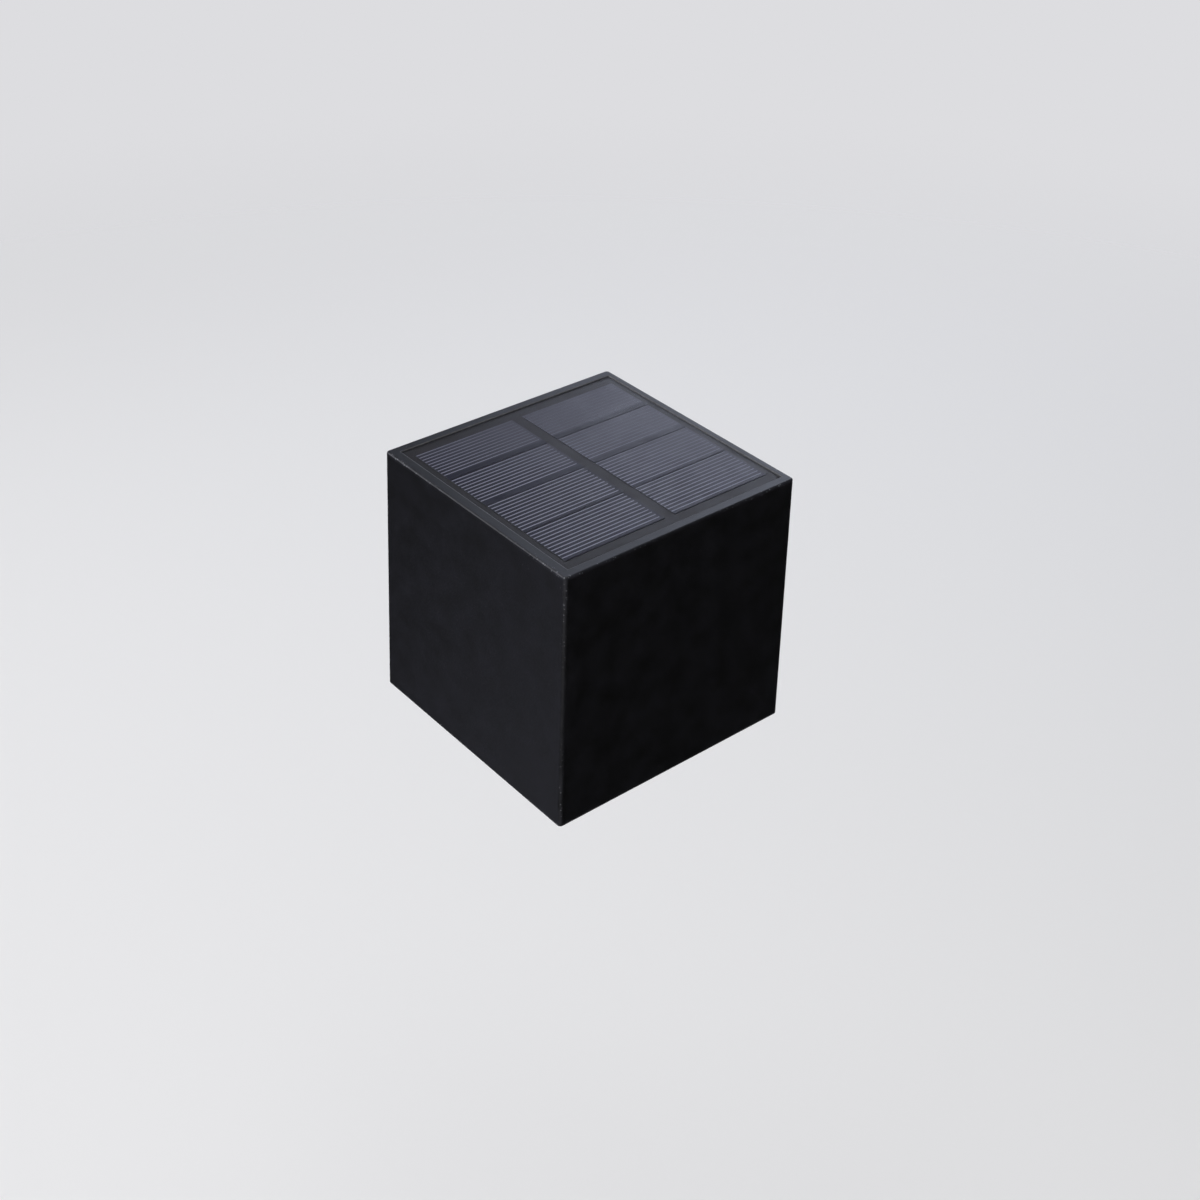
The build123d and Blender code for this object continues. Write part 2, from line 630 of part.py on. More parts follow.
def power_button():
    face = BASE_BOTTOM - BUTTON_PROUD
    button = post(0, BUTTON_Y, face, COLLAR_BOTTOM, BUTTON_R)
    button = fillet(button.edges().sort_by(Axis.Z)[0], BUTTON_EDGE_R)
    dish_rim = BUTTON_R - BUTTON_EDGE_R
    dish_r = (dish_rim**2 / BUTTON_DISH + BUTTON_DISH) / 2
    button -= Pos(0, BUTTON_Y, face + BUTTON_DISH - dish_r) * Sphere(dish_r)
    button += post(0, BUTTON_Y, COLLAR_BOTTOM, COLLAR_BOTTOM + COLLAR_T, COLLAR_R)
    button += post(0, BUTTON_Y, COLLAR_BOTTOM + COLLAR_T, STEM_TOP, STEM_R)
    half = PLUNGER_W / 2 + SCREW_BITE
    return button - block(-half, half, BUTTON_Y - half, BUTTON_Y + half, STEM_TOP - PLUNGER_GRIP, STEM_TOP)


def button_seal():
    ring = Circle(BUTTON_SEAL_R) - Circle(BUTTON_R + BUTTON_SEAL_CLEAR)
    return slab(Pos(0, BUTTON_Y) * ring, BASE_TOP, COLLAR_BOTTOM)


# Battery bay


def tab_slot(x0, x1):
    """The slot in a bay wall that a contact's solder tab passes through."""
    half = TAB_W / 2 + TAB_CLEAR
    return block(x0, x1, BAY_Y - half, BAY_Y + half, TAB_TOP - CONTACT_T - TAB_CLEAR, TAB_TOP + TAB_CLEAR)


def battery_bay():
    flange_left = HINGE_X - HINGE_SWING - BAY_FLANGE_LAP
    flange_right = DOOR_RIGHT + DOOR_CLEAR + BAY_FLANGE_LAP
    flange_front = DOOR_HOLE_FRONT - BAY_FLANGE_LAP
    flange_back = DOOR_HOLE_BACK + BAY_FLANGE_LAP
    bay = block(flange_left, flange_right, flange_front, flange_back, BASE_TOP, BASE_TOP + BAY_FLANGE_T)
    bay += block(
        BAY_LEFT - BAY_WALL,
        BAY_RIGHT + BAY_WALL,
        BAY_FRONT - BAY_WALL,
        BAY_BACK + BAY_WALL,
        BASE_TOP,
        BAY_ROOF + BAY_WALL,
    )
    bay += post(DOOR_SCREW_X, BAY_Y, BASE_TOP, DOOR_SCREW_TOP + BAY_WALL, DOOR_SCREW_BOSS_R)
    bay -= block(BAY_LEFT, BAY_RIGHT, BAY_FRONT, BAY_BACK, BASE_TOP, BAY_ROOF)
    hole_top = DOOR_SCREW_TOP + DOOR_SCREW_CLEAR
    bay -= post(DOOR_SCREW_X, BAY_Y, BASE_TOP, hole_top, DOOR_SCREW_R + DOOR_SCREW_CLEAR)
    bay -= tab_slot(BAY_LEFT - BAY_WALL, BAY_LEFT)
    return bay - tab_slot(BAY_RIGHT, BAY_RIGHT + BAY_WALL)


def battery_cell():
    cell = rod_x(BATTERY_LEFT, BATTERY_RIGHT - NUB_L, BAY_Y, BATTERY_Z, BATTERY_R)
    return cell + rod_x(BATTERY_RIGHT - NUB_L, BATTERY_RIGHT, BAY_Y, BATTERY_Z, NUB_R)


def contact_plate(x0):
    """A contact's upright plate, which stands against an end wall of the bay."""
    half_w = CONTACT_W / 2
    half_h = CONTACT_H / 2
    return block(x0, x0 + CONTACT_T, BAY_Y - half_w, BAY_Y + half_w, BATTERY_Z - half_h, BATTERY_Z + half_h)


def solder_tab(x0, x1):
    """A contact's solder tab, outside the bay."""
    return block(x0, x1, BAY_Y - TAB_W / 2, BAY_Y + TAB_W / 2, TAB_TOP - CONTACT_T, TAB_TOP)


def contact_negative():
    # The spring leaf is a bent strip: down from the plate's top to a flat tip, then part of the way back.
    top = CONTACT_H / 2
    tip = SPRING_REACH / 6
    strip = [
        (CONTACT_T, top),
        (SPRING_REACH, tip),
        (SPRING_REACH, -tip),
        (SPRING_REACH / 3, -top),
        (SPRING_REACH / 3 - CONTACT_T, -top),
        (SPRING_REACH - CONTACT_T, -tip),
        (SPRING_REACH - CONTACT_T, tip),
        (CONTACT_T, top - 2 * CONTACT_T),
    ]
    wall = Plane(origin=(BAY_LEFT, BAY_Y, BATTERY_Z), x_dir=(1, 0, 0), z_dir=(0, -1, 0))
    leaf = extrude(wall * make_face(Polyline(*strip, close=True)), amount=CONTACT_W / 2, both=True)
    return contact_plate(BAY_LEFT) + leaf + solder_tab(BAY_LEFT - BAY_WALL - TAB_L, BAY_LEFT)


def contact_positive():
    plate = contact_plate(BAY_RIGHT - CONTACT_T)
    plate += rod_x(BAY_RIGHT - CONTACT_T - DIMPLE_T, BAY_RIGHT - CONTACT_T, BAY_Y, BATTERY_Z, DIMPLE_R)
    return plate + solder_tab(BAY_RIGHT, BAY_RIGHT + BAY_WALL + TAB_L)


# Battery door


def battery_door():
    front = DOOR_HOLE_FRONT + DOOR_CLEAR
    back = DOOR_HOLE_BACK - DOOR_CLEAR
    half = KNUCKLE_L / 2
    door = block(HINGE_X + LEAF_START, DOOR_RIGHT, front, back, BASE_BOTTOM, DOOR_TOP)
    door = fillet(door.edges().group_by(Axis.Z)[0], DOOR_EDGE_R)
    door += block(HINGE_X, HINGE_X + LEAF_START + BLEND, BAY_Y - half, BAY_Y + half, BASE_BOTTOM, DOOR_TOP)
    door += rod_y(HINGE_X, BAY_Y - half, BAY_Y + half, HINGE_Z, KNUCKLE_R)
    door -= rod_y(HINGE_X, BAY_Y - half, BAY_Y + half, HINGE_Z, PIN_R + PIN_FIT)
    return door - post(DOOR_SCREW_X, BAY_Y, BASE_BOTTOM, DOOR_TOP, DOOR_SCREW_R + SCREW_BITE)


def door_seal():
    outer = plan(
        BAY_LEFT - DOOR_SEAL_W, BAY_RIGHT + DOOR_SEAL_W, BAY_FRONT - DOOR_SEAL_W, BAY_BACK + DOOR_SEAL_W
    )
    return slab(outer - plan(BAY_LEFT, BAY_RIGHT, BAY_FRONT, BAY_BACK), DOOR_TOP, BASE_TOP)


def door_screw():
    size = (DOOR_SCREW_R, BASE_SCREW_HEAD_R, BASE_SCREW_HEAD_T)
    return screw(DOOR_SCREW_X, BAY_Y, BASE_BOTTOM, DOOR_SCREW_TOP, *size)


def hinge_pin():
    return rod_y(HINGE_X, PIN_FRONT, PIN_BACK, HINGE_Z, PIN_R)


# Leads: straight runs joined by arcs as large as the runs allow


def lead(points):
    """A wire along the points, whose radius at a corner is set by the shorter run beside it."""
    corners = [Vector(*point) for point in points]
    runs = [b - a for a, b in zip(corners, corners[1:])]
    radii = []
    for before, after in zip(runs, runs[1:]):
        turn = math.radians(before.get_angle(after))
        radii.append(0.45 * min(before.length, after.length) / math.tan(turn / 2))
    path = FilletPolyline(*corners, radius=radii)
    wire = sweep(Plane(origin=path @ 0, z_dir=path % 0) * Circle(LEAD_R), path)
    share = wire.volume / (math.pi * LEAD_R**2 * path.length)
    print("lead", round(path.length, 1), "mm, radii", [round(r, 1) for r in radii], "volume share", round(share, 4))
    return wire


def panel_lead(side):
    """From the panel's underside through the grommet to the right-hand socket; side is -1 or 1."""
    x = side * LEAD_PITCH / 2
    end_x = LEAD_SOCKET_X + x
    return lead([
        (x, LEAD_HOLE_Y, PANEL_BOTTOM),
        (x, LEAD_HOLE_Y, LEAD_BEND_Z),
        (x + LEAD_STEP, (LEAD_HOLE_Y + LEAD_SOCKET_Y) / 2, LEAD_MID_Z),
        (end_x, LEAD_SOCKET_Y, LEAD_SOCKET_TOP + LEAD_ARCH),
        (end_x, LEAD_SOCKET_Y, LEAD_SOCKET_TOP),
    ])


def panel_lead_negative():
    return panel_lead(-1)


def panel_lead_positive():
    return panel_lead(1)


def battery_lead_negative():
    start_x = BAY_LEFT - BAY_WALL - TAB_L / 2
    end_x = -LEAD_SOCKET_X - LEAD_PITCH / 2
    arch_z = LEAD_SOCKET_TOP + LEAD_ARCH
    return lead([
        (start_x, BAY_Y, TAB_TOP),
        (start_x, BAY_Y, TAB_TOP + LEAD_RISE),
        (start_x + LEAD_STEP, BAY_Y - LEAD_STEP, arch_z),
        (end_x, LEAD_SOCKET_Y, arch_z),
        (end_x, LEAD_SOCKET_Y, LEAD_SOCKET_TOP),
    ])


def battery_lead_positive():
    start_x = BAY_RIGHT + BAY_WALL + TAB_L / 2
    end_x = -LEAD_SOCKET_X + LEAD_PITCH / 2
    arch_z = LEAD_SOCKET_TOP + LEAD_ARCH
    return lead([
        (start_x, BAY_Y, TAB_TOP),
        (start_x, BAY_Y, TAB_TOP + LEAD_RISE),
        (start_x - LEAD_STEP, BAY_Y - LEAD_STEP / 2, arch_z),
        ((start_x + end_x) / 2, BAY_Y - LEAD_STEP, arch_z + LEAD_STEP / 3),
        (end_x + LEAD_STEP, BAY_Y - 1.5 * LEAD_STEP, arch_z),
        (end_x, LEAD_SOCKET_Y, arch_z),
        (end_x, LEAD_SOCKET_Y, LEAD_SOCKET_TOP),
    ])


NODES = [
    wall_bracket,
    housing,
    panel_resin,
    solar_cells,
    panel_board,
    panel_tape,
    lead_grommet,
    base_plate,
    base_seal,
    base_screws,
    diffuser,
    diffuser_seal,
    reflector,
    circuit_board,
    board_screws,
    leds,
    driver_chip,
    inductor,
    capacitor,
    lead_sockets,
    power_switch,
    switch_plunger,
    power_button,
    button_seal,
    battery_bay,
    battery_cell,
    contact_negative,
    contact_positive,
    battery_door,
    door_seal,
    door_screw,
    hinge_pin,
    panel_lead_negative,
    panel_lead_positive,
    battery_lead_negative,
    battery_lead_positive,
]

os.makedirs("parts", exist_ok=True)
for make_node in NODES:
    export_step(make_node(), f"parts/{make_node.__name__}.step")
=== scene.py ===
"""Solar wall light: finishes, printed solar cells, battery and studio stage around its CAD frame."""

import math

import bmesh
import bpy
import numpy as np
from bpy.props import FloatProperty, FloatVectorProperty, PointerProperty
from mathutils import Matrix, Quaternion, Vector


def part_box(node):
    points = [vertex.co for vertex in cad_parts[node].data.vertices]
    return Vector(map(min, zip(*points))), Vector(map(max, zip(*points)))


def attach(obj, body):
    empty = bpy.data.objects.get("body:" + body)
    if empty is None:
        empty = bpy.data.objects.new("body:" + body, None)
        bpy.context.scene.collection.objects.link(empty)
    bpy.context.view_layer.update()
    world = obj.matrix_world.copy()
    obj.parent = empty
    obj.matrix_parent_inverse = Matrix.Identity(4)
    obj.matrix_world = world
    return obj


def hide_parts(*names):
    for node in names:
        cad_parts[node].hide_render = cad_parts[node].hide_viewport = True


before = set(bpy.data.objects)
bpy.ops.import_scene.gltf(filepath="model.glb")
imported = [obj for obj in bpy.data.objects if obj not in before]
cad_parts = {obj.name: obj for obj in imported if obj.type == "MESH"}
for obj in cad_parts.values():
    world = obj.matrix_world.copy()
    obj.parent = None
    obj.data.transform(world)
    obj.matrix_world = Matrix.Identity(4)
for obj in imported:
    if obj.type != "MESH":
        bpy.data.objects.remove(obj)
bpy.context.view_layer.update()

bl_info = {
    "name": "Solar wall light",
    "version": (1, 0, 0),
    "blender": (4, 5, 0),
    "location": "3D View > Sidebar > Solar light",
    "description": "Dresses the CAD frame of a cube-shaped solar wall light and sets up its stage",
    "category": "Object",
}

MM = 0.001

# Housing: its sides and front lean out towards the bottom, its back is upright
SIDE_LEAN = math.radians(1.25)
FRONT_LEAN = math.radians(1.75)
ABS_IOR = 1.53

# Top recess, as far as grit and painted light reach round the panel, and as deep as they show
RECESS_REACH = 0.65
RECESS_DEPTH = 3.5

# Printed silver fingers: each column's first finger, from the left side of the cells, and its count
FINGER_STARTS = (0.52, 21.52, 42.07, 63.07)
FINGER_COUNTS = (10, 10, 11, 11)
FINGER_HEIGHT = 0.03
FINGER_FRONT_MARGIN = 0.05
FINGER_BACK_MARGIN = 0.8
FINGER_TIP = 0.2
CELL_COLUMNS = 4
CELL_ROWS = 2
CELL_GAP = 0.5
ROW_GAP = 4.4

# Resin cover of the solar panel
COVER_LIFT = 0.06
COVER_CORNER = 0.6
COVER_EDGE = 0.12
RESIN_VEIL = 0.03
RESIN_HAZE = 0.12
# The haze grows along a line turned this far from the wall's direction, between two places on it, to a share
HAZE_TURN = math.radians(50)
HAZE_START = -48
HAZE_END = 4
HAZE_MOST = 0.85

# Battery, a steel can in a shrunk sleeve
CAN_BEND = 0.8
NUB_LENGTH = 1.5
NUB_RADIUS = 2.75
NUB_BEND = 0.4
SLEEVE_THICK = 0.1
SLEEVE_FOLD = 1.7

# Nodes of the electronics that share a finish, and finishes of bare metal
SWITCH = ["power_switch", "switch_plunger"]
RED_LEADS = ["panel_lead_positive", "battery_lead_positive"]
BLACK_LEADS = ["panel_lead_negative", "battery_lead_negative"]
METALS = ["drawn_aluminium"]

SHARP = math.radians(35)

# Stage, in metres
AIM = Vector((0.0045, -0.04726, -0.00527))
FLOOR_REACH = 2.2
FLOOR_GAP = 0.01
BACKDROP_RADIUS = 6


def linear(code):
    """Turns an sRGB hex colour into linear red, green and blue."""
    srgb = np.array([int(code[i:i + 2], 16) for i in (1, 3, 5)]) / 255
    return tuple(np.where(srgb <= 0.04045, srgb / 12.92, ((srgb + 0.055) / 1.055) ** 2.4).tolist())


def colour(label, note, code):
    """A colour that the user can change."""
    return FloatVectorProperty(
        name=label, description=note, default=linear(code), subtype="COLOR", size=3, min=0, max=1
    )


def length(label, note, millimetres):
    """A length that the user can change, kept in metres."""
    return FloatProperty(name=label, description=note, default=millimetres * MM, unit="LENGTH", precision=5)


def angle(label, note, degrees):
    """An angle that the user can change."""
    return FloatProperty(name=label, description=note, default=math.radians(degrees), unit="ROTATION")


def watts(label, note, value):
    """A light's power that the user can change."""
    return FloatProperty(name=label, description=note, default=value, min=0, unit="POWER")


class SolarLightCase(bpy.types.PropertyGroup):
    """Black moulded plastic of the housing, base plate, door and bracket."""

    dark: colour("Dark tone", "Deeper tone of the black ABS", "#0b0b0e")
    light: colour("Light tone", "Paler tone of the black ABS", "#1a1a21")
    worn: colour("Worn tone", "Tone of handled edges", "#42424b")
    # Dust and sheen: a weathered film on what faces up, which is also painted sheen that lightens those faces
    dust: colour("Dust", "Weathered film on surfaces that face up", "#1e1f22")
    # The speck tone also paints light into the gap round the panel, lifting its shade
    speck: colour("Speck", "Pale dust caught in the grain", "#6d6d6f")
    chip: colour("Chip", "Whitened chips along the edges", "#93969d")
    patch: length("Patch", "Size of the faint cloudy patches", 7)
    grain: length("Grain", "Width of the moulded grain", 0.45)
    grain_depth: length("Grain depth", "Height of the moulded grain", 0.02)
    worn_width: length("Worn edge", "How far wear reaches from an edge", 1.6)
    speck_spacing: length("Speck spacing", "Average distance between specks, in depth too", 4)
    chip_spacing: length("Chip spacing", "Average distance between chips, in depth too", 1.15)


class SolarLightPanel(bpy.types.PropertyGroup):
    """Solar panel in the top: cells, printed fingers and resin."""

    cell_dark: colour("Cell, dark", "Deeper tone of the coated silicon", "#0b0c18")
    cell_light: colour("Cell, light", "Paler tone of the coated silicon", "#14152a")
    cell_edge: colour("Cell, cut edge", "Bare silicon where the laser cut it", "#6e6f74")
    finger: colour("Fingers", "Fired silver paste seen through the resin", "#9c9dae")
    backing: colour("Backing", "Laminate seen round the cells", "#1d1b1a")
    resin: colour("Resin", "Haze in the clear cover", "#5f5f6a")
    finger_width: length("Finger width", "Drawn as wide as a finger shows", 0.47)
    finger_pitch: length("Finger pitch", "Distance from finger to finger", 1.825)


class SolarLightFittings(bpy.types.PropertyGroup):
    """Lens, metal and battery."""

    opal: colour("Opal lens", "White-filled acrylic", "#e9e6dd")
    steel: colour("Steel", "Stainless screws and hinge pin", "#b4b2ad")
    nickel: colour("Nickel", "Plated battery contacts", "#c3bfb3")
    sleeve: colour("Battery sleeve", "Shrunk PVC sleeve", "#4f7f9c")


class SolarLightStage(bpy.types.PropertyGroup):
    """Camera, floor and lights."""

    floor: colour("Floor", "Plain pale floor", "#f2f1ef")
    backdrop: colour("Backdrop", "Colour that the backdrop shows", "#dddde0")
    floor_drop: length("Floor drop", "Floor below the middle of the lamp", 600)
    azimuth: angle("Azimuth", "Camera's turn to the right of the front", 49.87)
    elevation: angle("Elevation", "Camera's height above the horizon", 34.71)
    roll: angle("Roll", "Camera's turn about its line of sight", -1.33)
    distance: length("Distance", "Camera to aim point", 640)
    lens: FloatProperty(name="Lens", description="Focal length", default=53.35, unit="CAMERA")
    sky: FloatProperty(name="Room light", description="Even light from all round", default=0.023, min=0)
    top_power: watts("Top softbox", "Softbox that the panel mirrors to the camera", 12.9)
    key_power: watts("Key softbox", "Large softbox in front, on the left", 26)
    ceiling_power: watts("Ceiling softbox", "Large softbox overhead", 19)
    edge_power: watts("Edge card", "Low card that the near edge mirrors", 0.4)
    front_power: watts("Front card", "Low card that the front mirrors", 0.25)
    side_power: watts("Side card", "Card that the right side mirrors, seen square on", 0.6)
    face_power: watts("Face card", "Card that the front mirrors, seen square on", 0.6)
    under_power: watts("Under card", "Card under the lamp that the underside mirrors", 1.2)
    wash_power: watts("Floor wash", "Broad light on the floor alone", 18)


GROUPS = {
    "solar_light_case": SolarLightCase,
    "solar_light_panel": SolarLightPanel,
    "solar_light_fittings": SolarLightFittings,
    "solar_light_stage": SolarLightStage,
}


# Shapes


def skin(name, grids, wrap_rows=False, wrap_columns=False):
    """One object from grids of points, shaped (patches, rows, columns, 3) in metres. Quads join each point to
    its neighbours, a wrapped direction also joins the last to the first, and points that meet are merged."""
    patches, rows, columns = grids.shape[:3]
    index = np.arange(patches * rows * columns).reshape(patches, rows, columns)
    if wrap_rows:
        index = np.concatenate([index, index[:, :1]], axis=1)
    if wrap_columns:
        index = np.concatenate([index, index[:, :, :1]], axis=2)
    corners = [index[:, :-1, :-1], index[:, :-1, 1:], index[:, 1:, 1:], index[:, 1:, :-1]]
    quads = np.stack(corners, axis=-1).reshape(-1, 4)
    mesh = bpy.data.meshes.new(name)
    mesh.from_pydata(grids.reshape(-1, 3).tolist(), [], quads.tolist())
    work = bmesh.new()
    work.from_mesh(mesh)
    bmesh.ops.remove_doubles(work, verts=work.verts, dist=0.0005 * MM)
    bmesh.ops.dissolve_degenerate(work, edges=work.edges, dist=0.0005 * MM)
    bmesh.ops.recalc_face_normals(work, faces=work.faces)
    work.to_mesh(mesh)
    work.free()
    mesh.shade_smooth()
    mesh.set_sharp_from_angle(angle=SHARP)
    piece = bpy.data.objects.new(name, mesh)
    bpy.context.scene.collection.objects.link(piece)
    return piece


def place(piece, body, slot, material, *nodes):
    """Gives a new piece its material and body, and hides the CAD nodes that it stands for. The slot is not
    used.
    """
    piece.data.materials.append(material)
    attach(piece, body)
    if nodes:
        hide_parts(*nodes)


def dress(material, *nodes):
    """Gives CAD nodes a material."""
    for node in nodes:
        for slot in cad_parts[node].material_slots:
            slot.material = material


def round_rectangle(low, high, insets, heights, corner, steps=7):
    """A rounded rectangle drawn in by each inset at its height: each corner is its centre plus a radius times
    the unit circle, and the radius shrinks with the inset. Rows follow the insets, columns the outline."""
    turn = np.linspace(0, math.pi / 2, steps)[None, :] + np.arange(4)[:, None] * math.pi / 2
    sign_x = np.array([1, -1, -1, 1])[:, None]
    sign_y = np.array([1, 1, -1, -1])[:, None]
    insets = insets[:, None, None]
    half_x = np.maximum((high[0] - low[0]) / 2 - insets, 0)
    half_y = np.maximum((high[1] - low[1]) / 2 - insets, 0)
    radius = np.minimum(np.maximum(corner - insets, 0), np.minimum(half_x, half_y))
    x = (low[0] + high[0]) / 2 + sign_x * (half_x - radius) + radius * np.cos(turn)
    y = (low[1] + high[1]) / 2 + sign_y * (half_y - radius) + radius * np.sin(turn)
    z = np.broadcast_to(heights[:, None, None], x.shape)
    return np.stack([x, y, z], axis=-1).reshape(len(heights), -1, 3)


def lathe_x(profile, centre, steps=64):
    """A profile of (x, radius) turned about a line along X: y and z are the centre plus the radius times
    the cosine and sine of the turn. Rows follow the profile, columns the turn."""
    turn = np.linspace(0, 2 * math.pi, steps, endpoint=False)[None, :]
    x = np.broadcast_to(profile[:, :1], (len(profile), steps))
    y = centre[1] + profile[:, 1:] * np.cos(turn)
    z = centre[2] + profile[:, 1:] * np.sin(turn)
    return np.stack([x, y, z], axis=-1)


# Materials


def add(tree, kind, inputs=None, **settings):
    """Adds one node. Settings are its own properties, inputs its sockets by name or number, each given a
    value or another node's output to link. A Mix node's sockets share their names, so they go by number: 0
    takes the share, 2 and 3 numbers, 6 and 7 colours, and the mix comes out at 0, or at 2 for colours."""
    made = tree.nodes.new(kind)
    for name, value in settings.items():
        setattr(made, name, value)
    for socket, value in (inputs or {}).items():
        if isinstance(value, bpy.types.NodeSocket):
            tree.links.new(value, made.inputs[socket])
        else:
            made.inputs[socket].default_value = value
    return made


def start_material(name):
    """An empty node material, its node tree, and object coordinates in metres."""
    material = bpy.data.materials.new(name)
    material.use_nodes = True
    tree = material.node_tree
    tree.nodes.clear()
    return material, tree, add(tree, "ShaderNodeTexCoord").outputs["Object"]


def end_material(tree, inputs):
    """Closes a material with its shader, whose sockets take constants or patterns, and its output."""
    shader = add(tree, "ShaderNodeBsdfPrincipled", inputs)
    add(tree, "ShaderNodeOutputMaterial", {"Surface": shader.outputs["BSDF"]})


def drift(tree, where, size, low, high, detail=3.0):
    """Noise of a given patch size, stretched so that it runs from low to high."""
    noise = add(tree, "ShaderNodeTexNoise", {"Vector": where, "Scale": 1 / size, "Detail": detail})
    span = {"Value": noise.outputs["Fac"], "From Min": 0.3, "From Max": 0.7, "To Min": low, "To Max": high}
    return add(tree, "ShaderNodeMapRange", span).outputs["Result"]


def finish(name, dark, light, patch, grain, depth, rough, stretch=None, **sockets):
    """A finish of two close tones that drift into each other over patches, with roughness that drifts over
    patches twice as large, and a fine relief. Patch, grain and depth are in millimetres, stretch draws the
    pattern out along an axis, and sockets are the shader's constants, with underscores for spaces."""
    material, tree, where = start_material(name)
    if stretch:
        where = add(tree, "ShaderNodeMapping", {"Vector": where, "Scale": stretch}).outputs["Vector"]
    tones = {0: drift(tree, where, patch * MM, 0, 1), 6: (*dark, 1), 7: (*light, 1)}
    relief = {"Height": drift(tree, where, grain * MM, 0, 1, 2.0), "Distance": depth * MM}
    end_material(tree, {
        "Base Color": add(tree, "ShaderNodeMix", tones, data_type="RGBA").outputs[2],
        "Roughness": drift(tree, where, 2 * patch * MM, *rough),
        "Normal": add(tree, "ShaderNodeBump", relief).outputs["Normal"],
        **{socket.replace("_", " "): value for socket, value in sockets.items()},
    })
    return material


def edge_distances(tree, where):
    """How far a point on the housing is from an edge and from a corner. Of its distances in from the sides,
    from the front or back and from the top or bottom, one is nothing on a face, the middle one is how far an
    edge is, and the largest is how far a corner is."""
    low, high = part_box("housing")
    from_centre = {0: where, 1: (low + high) / 2}
    offset = add(tree, "ShaderNodeVectorMath", from_centre, operation="SUBTRACT").outputs[0]
    spread = add(tree, "ShaderNodeVectorMath", {0: offset}, operation="ABSOLUTE").outputs[0]
    from_sides = {0: (high - low) / 2, 1: spread}
    inward = add(tree, "ShaderNodeVectorMath", from_sides, operation="SUBTRACT").outputs[0]
    x, y, z = add(tree, "ShaderNodeSeparateXYZ", {0: inward}).outputs
    # The sides and the front lean in with height above the bottom edge.
    above = add(tree, "ShaderNodeVectorMath", {0: where, 1: low}, operation="SUBTRACT").outputs[0]
    _, front, rise = add(tree, "ShaderNodeSeparateXYZ", {0: above}).outputs
    side_lean = {0: rise, 1: -math.tan(SIDE_LEAN), 2: x}
    x = add(tree, "ShaderNodeMath", side_lean, operation="MULTIPLY_ADD").outputs[0]
    front_lean = {0: rise, 1: -math.tan(FRONT_LEAN), 2: front}
    front = add(tree, "ShaderNodeMath", front_lean, operation="MULTIPLY_ADD").outputs[0]
    y = add(tree, "ShaderNodeMath", {0: front, 1: y}, operation="MINIMUM").outputs[0]
    nearer = add(tree, "ShaderNodeMath", {0: x, 1: y}, operation="MINIMUM").outputs[0]
    farther = add(tree, "ShaderNodeMath", {0: x, 1: y}, operation="MAXIMUM").outputs[0]
    third = add(tree, "ShaderNodeMath", {0: farther, 1: z}, operation="MINIMUM").outputs[0]
    edge = add(tree, "ShaderNodeMath", {0: nearer, 1: third}, operation="MAXIMUM").outputs[0]
    corner = add(tree, "ShaderNodeMath", {0: farther, 1: z}, operation="MAXIMUM").outputs[0]
    return edge, corner


def recess_depth(tree, where):
    """How far a point lies inside the box of the top recess, a little wider than the panel: the smallest of
    its distances in from the box's sides, less than nothing outside."""
    low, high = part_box("panel_resin")
    reach = RECESS_REACH * MM
    half = Vector(((high.x - low.x) / 2 + reach, (high.y - low.y) / 2 + reach, RECESS_DEPTH * MM))
    centre = Vector(((low.x + high.x) / 2, (low.y + high.y) / 2, high.z))
    offset = add(tree, "ShaderNodeVectorMath", {0: where, 1: centre}, operation="SUBTRACT").outputs[0]
    spread = add(tree, "ShaderNodeVectorMath", {0: offset}, operation="ABSOLUTE").outputs[0]
    inward = add(tree, "ShaderNodeVectorMath", {0: half, 1: spread}, operation="SUBTRACT").outputs[0]
    x, y, z = add(tree, "ShaderNodeSeparateXYZ", {0: inward}).outputs
    nearer = add(tree, "ShaderNodeMath", {0: x, 1: y}, operation="MINIMUM").outputs[0]
    return add(tree, "ShaderNodeMath", {0: nearer, 1: z}, operation="MINIMUM").outputs[0]


